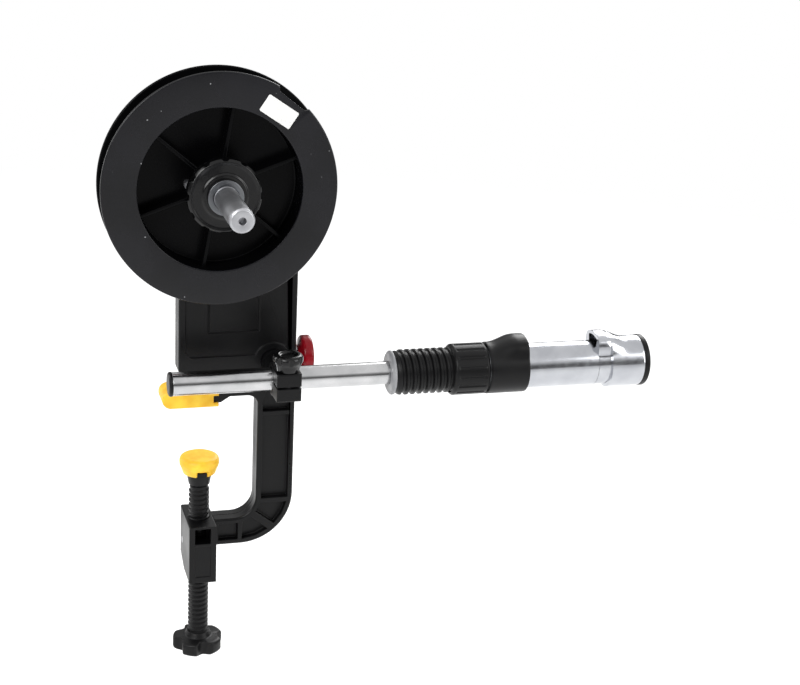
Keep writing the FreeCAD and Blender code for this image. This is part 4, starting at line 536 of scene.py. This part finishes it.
ARC_RADIUS, ARC_AT, ARC_ASIDE = 8.96, 15.8, 11.46
STAR_THICK, STAR_EDGE, EYE_RING = 2.6, 0.35, 29.4


def star_arm(at, steps=64):
    """One arm as a flat band along r. Its half-width follows a concave arc about the point ARC_AT along r and
    ARC_ASIDE from it, up to that r, and stays 2.5 mm from there. Near the hub it ends on the line between
    two arms. The band falls 1.8 mm between r 13 and r 25, and its edges are rounded."""
    r = np.linspace(5.5, 27.4, steps)[:, None]
    arc = ARC_ASIDE - np.sqrt(np.maximum(ARC_RADIUS ** 2 - (r - ARC_AT) ** 2, 0))
    half = np.where(r < ARC_AT, np.minimum(arc, r * math.tan(math.radians(36)) + 0.4), 2.5)
    bend = np.linspace(0, np.pi / 2, 5)
    edge_in, edge_up = STAR_EDGE * (1 - np.cos(bend)), STAR_EDGE * (1 - np.sin(bend))
    inset = np.concatenate([edge_in[::-1], edge_in])
    level = np.concatenate([edge_up[::-1], STAR_THICK - edge_up])
    side = np.concatenate([half - inset, (inset - half)[:, ::-1]], axis=1)
    level = np.tile(np.concatenate([level, level[::-1]]), (steps, 1))
    end_rows = ((1, 1), (0, 0))
    side = np.pad(side, end_rows)
    level = np.pad(level, end_rows, constant_values=STAR_THICK / 2)
    r = np.pad(r, end_rows, mode="edge")
    up = 16.7 - 1.8 * smooth_step(r, 13, 25) + level
    a = math.radians(at)
    x = CRANK[0] + r * math.cos(a) - side * math.sin(a)
    z = CRANK[1] + r * math.sin(a) + side * math.cos(a)
    return np.stack([x, up, z], axis=-1).reshape(-1, 3), grid_faces(steps + 2, 20, False)


STAR_ANGLES = 22 + 72 * np.arange(5)
HUB = soften([(11.5, 4.06), (11.5, 6.8), (18.8, 6.8), (19.5, 6.2), (19.5, 4.06)], 0.4)
EYE = soften([(14.9, 1.5), (14.9, 3.5), (17.5, 3.5), (17.5, 1.5)], [0.3, 0.45, 0.45, 0.3])
star_eyes = [turned(EYE, "y", (CRANK[0] + EYE_RING * math.cos(a), CRANK[1] + EYE_RING * math.sin(a)), 48)
             for a in np.radians(STAR_ANGLES)]
piece("chromed_star_drag", [star_arm(at) for at in STAR_ANGLES] + star_eyes + [turned(HUB, "y", CRANK)],
      ["star_drag"])

# %% Crank arm
PLATE_THICK, PLATE_HIGH, PLATE_DROP = 4.6, 29.2, 8.5
END_RADIUS = 5.25


def crank_plate(along=110, across=13):
    """A bent plate. s runs along it and v across it. Its mid height falls by PLATE_DROP in a smooth step from
    |s| 10.5 to 35.5. Its half-width goes from 9 at the hub to 5.65 and, at the round ends, to END_RADIUS."""
    s = (KNOB_AT + END_RADIUS) * np.sin(np.linspace(-np.pi / 2, np.pi / 2, along))
    far = np.abs(s)
    half = np.interp(far, [0, 12, 30, KNOB_AT], [9, 9, 5.65, END_RADIUS])
    half = half - 0.35 * np.exp(-((far - 12) / 5.0) ** 2)
    round_end = np.sqrt(np.maximum(END_RADIUS ** 2 - (far - KNOB_AT) ** 2, 0))
    half = np.where(far > KNOB_AT, round_end, half)
    mid = PLATE_HIGH - PLATE_DROP * smooth_step(far, 10.5, 35.5)
    v = np.sin(np.linspace(-np.pi / 2, np.pi / 2, across))
    lateral = half[:, None] * np.concatenate([v, v[::-1]])
    up = mid[:, None] + PLATE_THICK / 2 * np.repeat([-1, 1], across)
    x = CRANK[0] + (s[:, None] + lateral) * DIAGONAL
    z = CRANK[1] + (lateral - s[:, None]) * DIAGONAL
    return np.stack([x, up, z], axis=-1).reshape(-1, 3), grid_faces(along, 2 * across, False)


def pin(centre, radius, low=0):
    """A plain round bar along Y, from low to 50 mm, that cuts a hole."""
    return turned([(low, 0), (low, radius), (50, radius), (50, 0)], "y", centre, 40)


def cut(mesh, tools):
    """The mesh less the tools' solids, by an exact Boolean that is worked out once and kept as a mesh."""
    holder, tool = bpy.data.objects.new("cut", mesh), bpy.data.objects.new("tool", join("tool", tools))
    for made in (holder, tool):
        bpy.context.collection.objects.link(made)
    boolean = holder.modifiers.new("cut", "BOOLEAN")
    boolean.operation, boolean.object, boolean.solver = "DIFFERENCE", tool, "EXACT"
    bpy.context.view_layer.update()
    made = bpy.data.meshes.new_from_object(holder.evaluated_get(bpy.context.evaluated_depsgraph_get()))
    for spent in (holder, tool):
        bpy.data.objects.remove(spent)
    return made


ARM_HOLES = {-33: 2.3, -22: 2.3, 22: 2.3, 33: 2.3, -KNOB_AT: 2.5, KNOB_AT: 2.5}
holes = [pin(CRANK, 4.0, 10), pin(on_arm(LOCK_AT), 1.56, 10)]
holes += [pin(on_arm(s), radius) for s, radius in ARM_HOLES.items()]
plate = hand_over("anodised_crank_arm", cut(join("plate", [crank_plate()]), holes), ["crank_arm"], 40)
edge = plate.modifiers.new("edge_round", "BEVEL")
edge.width, edge.segments, edge.limit_method = 0.45 * MM, 3, "ANGLE"
edge.angle_limit, edge.use_clamp_overlap = math.radians(50), False

# %% [markdown]
# ## Grips
# Each grip is a lathe form: a narrow neck, a slow swell, a waist with four
# fine grooves and a flared end with a flat black cap in it.

# %% Grips
GRIP_START, GRIP_LONG = 24.2, 43.5


def grip_outline():
    """Stations as shares of the grip's length with their radii, cut by four grooves 0.5 mm wide."""
    share = [(0, 2.6), (0, 5.2), (0.018, 6.0), (0.1, 7.7), (0.2, 8.6), (0.38, 8.7), (0.55, 8.9), (0.68, 10.1),
             (0.78, 11.3), (0.87, 12.2), (0.94, 11.3), (1.0, 8.2), (1.0, 6.6), (0.874, 6.6), (0.874, 2.6)]
    corners = np.array([(GRIP_START + GRIP_LONG * s, r) for s, r in share])
    smooth = soften(corners, [0.2, 0.5, 0.6, 2.0, 4, 5, 5, 3, 3, 3, 2.2, 0.6, 0.4, 0.2, 0.2], 8)
    outer = smooth[9:9 * 12]
    fine = np.linspace(outer[:, 0].min(), outer[:, 0].max(), 260)
    radius = np.interp(fine, outer[:, 0], outer[:, 1])
    for k in range(4):
        off = np.abs(fine - (GRIP_START + GRIP_LONG * (0.48 + 0.045 * k) + 0.25))
        radius = radius - 0.45 * np.clip(1.45 - off / 0.26, 0, 1)
    return np.concatenate([smooth[:9], np.stack([fine, radius], axis=-1), smooth[9 * 12:]])


CAP = soften([(64.7, 0), (64.7, 6.55), (66.5, 6.55), (66.5, 5.2), (66.1, 4.6), (66.1, 3.6), (66.4, 3.4),
              (66.4, 0)], 0.2)
DIMPLE = soften([(66.3, 0), (66.3, 0.55), (66.6, 0.55), (66.6, 0)], 0.1)
WASHER = soften([(23, 2.52), (23, 5.6), (23.8, 5.6), (23.8, 2.52)], 0.2)
for end, s in (("upper", -KNOB_AT), ("lower", KNOB_AT)):
    x, z = on_arm(s)
    piece("grip_" + end, [turned(grip_outline(), "y", (x, z))], ["knob_" + end], 32)
    eyes = [turned(DIMPLE, "y", (x + dx, z), 20) for dx in (-1.7, 1.7)]
    piece("grip_cap_" + end, [turned(CAP, "y", (x, z), 72)] + eyes, ["knob_cap_" + end])
piece("steel_knob_washers", [turned(WASHER, "y", on_arm(s)) for s in (-KNOB_AT, KNOB_AT)], ["knob_washers"])

# %% [markdown]
# ## Cross rod and thumb knob
# The rod is a tube with a plug and one small hole below. The thumb knob that
# locks it is a red dish with a rounded rim.

# %% Cross rod, plug and thumb knob
ROD = (40.8, 26.0)
rod = join("rod", [turned(soften([(-27.5, 5.2), (-27.5, 6.6), (36.7, 6.6), (36.7, 5.2)], 0.25), "y", ROD)])
drill = turned([(15.0, 0), (15.0, 0.9), (26.0, 0.9), (26.0, 0)], "z", (ROD[0], 17.2), 32)
hand_over("phosphated_cross_rod", cut(rod, [drill]), ["cross_rod"], 38)
lathe("moulded_rod_plug", "rod_end_cap", "y", ROD,
      [(26.7, 0), (26.7, 5.2), (36.7, 5.2), (36.7, 6.6), (37.6, 6.6), (38.2, 6.0), (38.2, 0)])
THUMB = (0.0, 26.0)
lathe("red_thumb_knob", "thumb_knob", "x", THUMB,
      [(56.1, 3), (56.1, 6), (57.3, 6.4), (58.1, 10.7), (59.1, 11.7), (63.1, 11.7), (64.1, 11.1),
       (64.5, 10.1), (64.5, 9.2), (63.1, 7.6), (63.1, 0), (60.1, 0), (60.1, 3)],
      [0.1, 0.3, 0.6, 0.8, 0.9, 0.9, 0.5, 0.4, 0.4, 1.4, 0, 0, 0.1], 5)


# %% [markdown]
# ## Steel tube and reel seat
# A steel tube carries a ribbed barrel, a fluted nut that drives a sliding
# hood, a chrome seat tube with a fixed hood, and a black rim cap. The thread
# on the barrel is a real helix: each row of the grid climbs one pitch a turn.

# %% Threads
def threaded(low, high, pitch, root, crest, axis, centre, bore=0.0, parts=72, steps=16):
    """A screw thread between two stations. Row u (in turns) and angle a meet at the station
    low + pitch (u - 1 + a / 2 pi), held between low and high. The radius follows the share of a turn in u:
    crest up to 5/16, root from 8/16 to 13/16, straight flanks between. It fades to the root over the last
    turn at each end. The last column meets the first one a turn further on."""
    turns = (high - low) / pitch
    u = np.arange(0, int(math.ceil((turns + 1) * steps)) + 1)[:, None] / steps
    a = np.linspace(0, 2 * np.pi, parts, endpoint=False)[None, :]
    free = low + pitch * (u - 1 + a / (2 * np.pi))
    form = np.interp(u % 1, [0, 5 / 16, 8 / 16, 13 / 16, 1], [1, 1, 0, 0, 1])
    fade = np.clip((free - low) / pitch, 0, 1) * np.clip((high - free) / pitch, 0, 1)
    station, radius = np.clip(free, low, high), root + (crest - root) * form * fade
    station = np.concatenate([np.full((1, parts), low), station, np.full((1, parts), high)])
    radius = np.pad(radius, ((1, 1), (0, 0)), constant_values=bore)
    rows = len(station)
    i = np.arange(rows if bore > 0 else rows - 1)[:, None]
    j = np.arange(parts)[None, :]
    row = np.arange(rows)
    climb = np.where((row == 0) | (row == rows - 1), row, np.minimum(row + steps, rows - 2))
    i2 = (i + 1) % rows
    right, right2 = np.where(j == parts - 1, climb[i], i), np.where(j == parts - 1, climb[i2], i2)
    j2 = (j + 1) % parts
    faces = np.stack([i * parts + j, right * parts + j2, right2 * parts + j2, i2 * parts + j], axis=-1)
    return on_axis(axis, centre, station, radius, a), faces.reshape(-1, 4)


# %% Tube, plug, ring, barrel and nut
SEAT = (-36.0, 26.0)
lathe("drawn_reel_tube", "reel_tube", "x", SEAT, [(-21.7, 5.6), (-21.7, 6.6), (176.5, 6.6), (176.5, 5.6)],
      0.25)
lathe("moulded_tube_plug", "tube_end_plug", "x", SEAT,
      [(-11.7, 0), (-11.7, 5.6), (-21.7, 5.6), (-21.7, 6.9), (-23.0, 6.9), (-23.8, 6.0), (-23.8, 0)])
lathe("seat_end_ring", "seat_ring", "x", SEAT,
      [(101.4, 6.62), (101.4, 11.2), (102.4, 12.6), (103.6, 12.6), (103.6, 6.62)], 0.35)
barrel = threaded(103.6, 158, 4.0, 11.8, 13.0, "x", SEAT, bore=6.62, parts=96)
piece("ribbed_barrel", [barrel], ["thread_barrel"])


def fluted(station, radius, angle):
    """Sixteen round flutes, each 1.3 mm in radius, that stop 2.4 mm short of the nut's ends."""
    level = 1 - np.clip((np.abs(station - 148) - 7.7) / 0.8, 0, 1)
    deep = np.maximum(radius - bites(angle, 16, 15.5, 1.3), 0) * level
    return np.where(radius > 14, radius - deep, radius)


NUT_BODY = soften([(137.4, 13.08), (137.4, 13.6), (138.6, 14.8), (157.4, 14.8), (158.6, 13.6),
                   (158.6, 13.08)], 0.6)
# The plain stretch gets 60 rows, so that the flutes can fade out at their ends.
body_rows = np.linspace(139.2, 156.8, 60)
split_at = int(np.searchsorted(NUT_BODY[:, 0] > 148, True))
NUT_BODY = np.concatenate([NUT_BODY[:split_at], np.stack([body_rows, np.full(60, 14.8)], axis=-1),
                           NUT_BODY[split_at:]])
piece("fluted_locking_nut", [turned(NUT_BODY, "x", SEAT, 320, fluted)], ["locking_nut"])


# %% [markdown]
# A hood is a sleeve with a smooth hump on top that is open on one side. The
# hump falls by a smooth step over the angle, times a slow rise along the
# axis. The mouth is cut out of the hump as a curved pocket.

# %% Hoods and seat tube
def hood(low, high, sleeve, bore, rise_from, rise_to, top, mouth_deep, parts=128, rows=60):
    """A sleeve from low to high with a hump of height top - sleeve. Along the axis the hump grows by a smooth
    step that starts at rise_from and is done at three quarters of the way to rise_to. Round the axis it is
    flat within 26 degrees of the top and falls to 0 by 60 degrees. The mouth is a pocket under the hump,
    mouth_deep long from the tall end."""
    tall_low, tall_high = min(low, rise_to), max(high, rise_to)
    station = np.linspace(tall_low, tall_high, rows)
    angle = np.linspace(0, 2 * np.pi, parts, endpoint=False)[None, :]
    off = np.abs((angle - np.pi / 2 + np.pi) % (2 * np.pi) - np.pi)
    round_share = 1 - smooth_step(off, math.radians(26), math.radians(60))
    grow = smooth_step((station - rise_from) / (rise_to - rise_from), 0, 0.75)[:, None]
    on_sleeve = ((station >= low - 1e-6) & (station <= high + 1e-6))[:, None]
    hump = grow * round_share
    outer = np.where(on_sleeve, sleeve + (top - sleeve) * hump, bore + 0.02 + (top - bore) * hump)
    depth_in = np.abs(station - rise_to)[:, None]
    in_mouth = 1 - smooth_step(depth_in, mouth_deep - 0.8, mouth_deep)
    in_mouth = in_mouth * (1 - smooth_step(off, math.radians(22), math.radians(26)))
    inner = bore + (np.maximum(outer - 2.0, bore) - bore) * in_mouth
    lip = 0.5 * (1 - np.clip(np.minimum(station - tall_low, tall_high - station) / 0.5, 0, 1))[:, None]
    outer = outer - lip * (1 - np.sqrt(0.5))
    station = station[:, None] + 0 * angle
    station = np.concatenate([station, station[::-1]])
    radius = np.concatenate([outer, inner[::-1]])
    return on_axis("x", SEAT, station, radius, angle), grid_faces(2 * rows, parts, True)


piece("moulded_sliding_hood", [hood(159, 182, 15, 13.08, 161, 182, 19, 9)], ["sliding_hood"], 45)
piece("chromed_fixed_hood", [hood(233, 253.2, 14.9, 13.0, 245, 225, 18.9, 9)], ["fixed_hood"], 45)
lathe("chromed_seat_tube", "seat_tube", "x", SEAT, [(158, 11.8), (158, 13), (253.2, 13), (253.2, 11.8)], 0.2,
      parts=128)
lathe("moulded_seat_cap", "seat_end_cap", "x", SEAT,
      [(243.2, 0), (243.2, 11.8), (253.2, 11.8), (253.2, 15.1), (256, 15.1), (257, 14.1), (257, 9), (256, 8),
       (256, 0)], 0.5, parts=128)

# %% [markdown]
# ## Clamp screw, pad and knobs
# The clamp screw is moulded with a coarse thread and a ball end that sits in
# a cup under a round yellow pad. The star knob below has five broad lobes
# with round corners, and the bracket's knob eight shallow flutes.

# %% Clamp screw, cup and pad
ON_SCREW = (0.0, 0.0)
screw_tip = turned(soften([(-53, 0), (-53, 4.4), (-51, 4.4), (-50.6, 2.6), (-47.9, 2.6), (-47.3, 3.4),
                           (-46.1, 4), (-44.2, 4), (-42.5, 3.3), (-41.3, 2.0), (-41.3, 0)], 0.5),
                   "z", ON_SCREW)
screw_thread = threaded(-156, -51.3, 3.0, 5.25, 6.0, "z", ON_SCREW, parts=96)
piece("moulded_clamp_screw", [screw_thread, screw_tip], ["clamp_screw"])


def from_notch(angle):
    """The angle from the nearest of three notches, the first of which faces the spool side."""
    return (angle + math.radians(88) + np.pi / 3) % (2 * np.pi / 3) - np.pi / 3


def tabbed(station, radius, angle):
    """Three tabs 5.8 mm wide on the cup's rim, which reach to a radius of 9.2 mm."""
    on_tab = (np.abs(9.2 * np.sin(from_notch(angle))) < 2.9) & (np.abs(from_notch(angle)) < 1)
    return np.where(on_tab & (station > -43.55) & (radius > 7), 9.2, radius)


def notched(station, radius, angle):
    """Three notches 6.5 mm wide in the pad's skirt, for the cup's tabs."""
    inside = (np.abs(radius * np.sin(from_notch(angle))) < 3.25) & (np.abs(from_notch(angle)) < 1)
    return np.where(inside & (station < -39.6) & (radius > 7.4), 7.4, radius)


lathe("moulded_swivel_cup", "swivel_cup", "z", ON_SCREW,
      [(-50.6, 2.9), (-50.6, 6.1), (-43.6, 7.4), (-43.5, 7.4), (-41, 7.4), (-41, 4.3), (-46.3, 4.3),
       (-47.7, 2.9)], [0.1, 0.6, 0.02, 0.02, 0.1, 0.1, 0.1, 0.1], 4, 180, tabbed)
lathe("dipped_screw_pad", "screw_pad", "z", ON_SCREW,
      [(-41, 0), (-41, 7.4), (-43.6, 7.4), (-43.6, 9.4), (-39.7, 10.7), (-39.5, 10.8), (-37.6, 11.6),
       (-35, 11.6), (-33.5, 10.7), (-33, 9), (-33, 0)],
      [0, 0.1, 0.1, 0.8, 0.05, 0.05, 1.0, 1.2, 1.0, 0.8, 0], 5, 180, notched)


# %% Star knob
CORE = 10.6


def lobed(station, radius, angle):
    """Five lobes. Beyond the core's radius the outline is a rounded box 10 mm wide, joined to the core by the
    eighth root of the sum of eighth powers."""
    off = (angle - math.radians(24) + np.pi / 5) % (2 * np.pi / 5) - np.pi / 5
    side = 5.0 / np.maximum(np.abs(np.sin(off)), 1e-6)
    box = (np.maximum(radius, CORE) ** -9.0 + side ** -9.0) ** (-1 / 9.0)
    blend = (box ** 8.0 + CORE ** 8.0) ** (1 / 8.0)
    return np.where(radius > CORE + 0.01, np.minimum(blend, radius), radius)


lathe("moulded_star_knob", "star_knob", "z", ON_SCREW,
      [(-158.3, 0), (-158.3, 13.6), (-157.1, 15), (-151.2, 15), (-150.2, 13.6), (-149.8, 8.0), (-146.8, 6.7),
       (-146.8, 0)], [0, 1.0, 1.0, 1.2, 1.2, 0.6, 0.4, 0], 6, 240, lobed)

# %% Bracket knob
BRACKET_SCREW = (40.8, -46.6)


def eight_flutes(station, radius, angle):
    """Eight shallow flutes, 2 mm in radius and centred 9.7 mm from the axis."""
    floor = np.maximum(bites(angle, 8, 9.7, 2.0), 5.0)
    return np.where(radius > 5.5, np.minimum(radius, floor), radius)


lathe("polished_bracket_knob", "bracket_knob", "z", BRACKET_SCREW,
      [(34.5, 2.5), (34.5, 6.1), (38.6, 7.3), (40.4, 8.5), (42.9, 8.5), (44.3, 7.1), (44.3, 5.1), (43.3, 4.3),
       (43.3, 0), (38.5, 0), (38.5, 2.5)], [0.1, 0.5, 1.2, 1.0, 1.0, 0.7, 0.6, 0.8, 0, 0, 0.1], 6, 192,
      eight_flutes)

# %% [markdown]
# ## Sticker on the spool
# A white label sits on the spool's front rim. It is left blank.

# %% Blank sticker
def rounded_slab(centre, size, turn_degrees, low, high, corner=0.8):
    """A thin slab in the plane of the spool's rim, with rounded corners, from low to high along Y."""
    w, h = size[0] / 2, size[1] / 2
    outline = soften(np.array([(-w, -h), (w, -h), (w, h), (-w, h)]) + 100, corner, 6) - 100
    a = math.radians(turn_degrees)
    x = centre[0] + outline[:, 0] * math.cos(a) - outline[:, 1] * math.sin(a)
    z = centre[1] + outline[:, 0] * math.sin(a) + outline[:, 1] * math.cos(a)
    count = len(outline)
    middle = (np.full(count, centre[0]), np.full(count, centre[1]))
    rows = [(middle, high), ((x, z), high), ((x, z), low), (middle, low)]
    points = np.stack([np.stack([p[0], np.full(count, y), p[1]], axis=-1) for p, y in rows]).reshape(-1, 3)
    return points, grid_faces(4, count, False)


piece("blank_spool_label", [rounded_slab((33.5, 178.2), (19.2, 10.0), -33.5, -42.45, -42.32)], [], 30,
      "label",
      "spool_spindle")

# %% [markdown]
# ## Stage, light and camera
# A pale floor lies just below the lowest place of the star knob, which travels
# 20 mm down from the pose of the picture. The world is white to the camera and
# a softer grey as light, and reflections see a bright ceiling over a dark
# studio wall. Large soft lamps give long highlights along the black plastic,
# as in a product picture.

# %% Floor and world
FLOOR_Z = cad_box[0][2] - 0.0205


def stage_floor():
    """A wide disc whose colour fades to the white of the backdrop away from the object."""
    mesh = bpy.data.meshes.new("floor")
    turn = np.linspace(0, 2 * np.pi, 96, endpoint=False)
    points = np.stack([6 * np.cos(turn), 6 * np.sin(turn), np.full(96, FLOOR_Z)], axis=1)
    mesh.from_pydata(points.tolist(), [], [list(range(96))])
    floor = bpy.data.objects.new("floor", mesh)
    bpy.context.collection.objects.link(floor)
    material, tree = empty_tree("pale_floor")
    place = add(tree, "TexCoord", {}).outputs["Object"]
    far = add(tree, "VectorMath", {"operation": "LENGTH", 0: place})
    fade = add(tree, "MapRange", {"From Min": 0.35, "From Max": 1.3, "Value": far.outputs["Value"]})
    paint = add(tree, "BsdfDiffuse", {"Color": linear("#f4f4f4")})
    glow = add(tree, "Emission", {"Color": (1, 1, 1, 1), "Strength": 1.0})
    lift = add(tree, "Emission", {"Color": (1, 1, 1, 1), "Strength": 0.32})
    seen = add(tree, "LightPath", {}).outputs
    pale = add(tree, "AddShader", {0: paint.outputs[0], 1: lift.outputs[0]})
    mixed = add(tree, "MixShader", {0: fade.outputs[0], 1: pale.outputs[0], 2: glow.outputs[0]})
    rays = add(tree, "Math", {"operation": "MAXIMUM", 0: seen["Is Camera Ray"], 1: seen["Is Glossy Ray"]})
    rays = add(tree, "Math", {"operation": "MAXIMUM", 0: rays.outputs[0], 1: seen["Is Transmission Ray"]})
    chosen = add(tree, "MixShader", {0: rays.outputs[0], 1: paint.outputs[0], 2: mixed.outputs[0]})
    add(tree, "OutputMaterial", {"Surface": chosen.outputs[0]})
    mesh.materials.append(material)


def studio_world():
    """White to the camera, grey as light. Reflections see a bright ceiling over a dark wall, as in a photo
    studio, which gives tubes their dark line."""
    world = bpy.data.worlds.new("studio")
    world.use_nodes = True
    tree = world.node_tree
    tree.nodes.clear()
    place = add(tree, "TexCoord", {}).outputs["Generated"]
    height = add(tree, "SeparateXYZ", {"Vector": place}).outputs["Z"]
    ceiling = add(tree, "MapRange", {"From Min": 0.25, "From Max": 0.55, "To Min": 0.14, "To Max": 1.0,
                                     "Value": height}).outputs[0]
    white, mirror, grey = [add(tree, "Background", {"Color": (1, 1, 1, 1), "Strength": s}).outputs[0]
                           for s in (1.0, ceiling, 0.45)]
    seen = add(tree, "LightPath", {}).outputs
    soft = add(tree, "MixShader", {0: seen["Is Glossy Ray"], 1: grey, 2: mirror})
    direct = add(tree, "Math",
                 {"operation": "MAXIMUM", 0: seen["Is Camera Ray"], 1: seen["Is Transmission Ray"]})
    chosen = add(tree, "MixShader", {0: direct.outputs[0], 1: soft.outputs[0], 2: white})
    add(tree, "OutputWorld", {"Surface": chosen.outputs[0]})
    bpy.context.scene.world = world


stage_floor()
studio_world()

# %% Lamps
LAMPS = {
    "key_softbox": ((-0.95, -1.0, 0.9), (0.8, 0.9), 17.0),
    "fill_softbox": ((1.1, -0.8, 0.5), (0.7, 0.9), 8.0),
    "back_softbox": ((0.9, 1.1, 0.8), (0.8, 0.8), 13.0),
    "left_back_softbox": ((-1.1, 0.8, 0.5), (0.5, 0.9), 7.0),
}
target = Vector((0.06, -0.02, 0.03))
for name, (place, size, watts) in LAMPS.items():
    lamp = bpy.data.lights.new(name, "AREA")
    lamp.shape, lamp.size, lamp.size_y, lamp.energy = "RECTANGLE", size[0], size[1], watts
    holder = bpy.data.objects.new(name, lamp)
    holder.location = place
    holder.rotation_euler = (target - Vector(place)).to_track_quat("-Z", "Y").to_euler()
    bpy.context.collection.objects.link(holder)

# %% Camera at the photograph's viewing angle
CAMERA_PLACE = Vector((-0.1549, -0.9167, 0.3657))
YAW, PITCH, ROLL = math.radians(16.6), math.radians(19.3), math.radians(2.84)
FOCAL_PX, WIDE_PX = 1377.5 * 1.25, 800.0
camera_data = bpy.data.cameras.new("photo_camera")
camera_data.sensor_fit, camera_data.sensor_width = "HORIZONTAL", 36.0
camera_data.lens = FOCAL_PX / WIDE_PX * 36.0
camera = bpy.data.objects.new("photo_camera", camera_data)
look = Vector((math.sin(YAW) * math.cos(PITCH), math.cos(YAW) * math.cos(PITCH), -math.sin(PITCH)))
side = look.cross(Vector((0, 0, 1))).normalized()
up = side.cross(look)
turn = Matrix((side * math.cos(ROLL) + up * math.sin(ROLL), up * math.cos(ROLL) - side * math.sin(ROLL),
               -look)).transposed()
camera.matrix_world = Matrix.Translation(CAMERA_PLACE) @ turn.to_4x4()
bpy.context.collection.objects.link(camera)
bpy.context.scene.camera = camera
bpy.context.scene.view_settings.view_transform = "Standard"
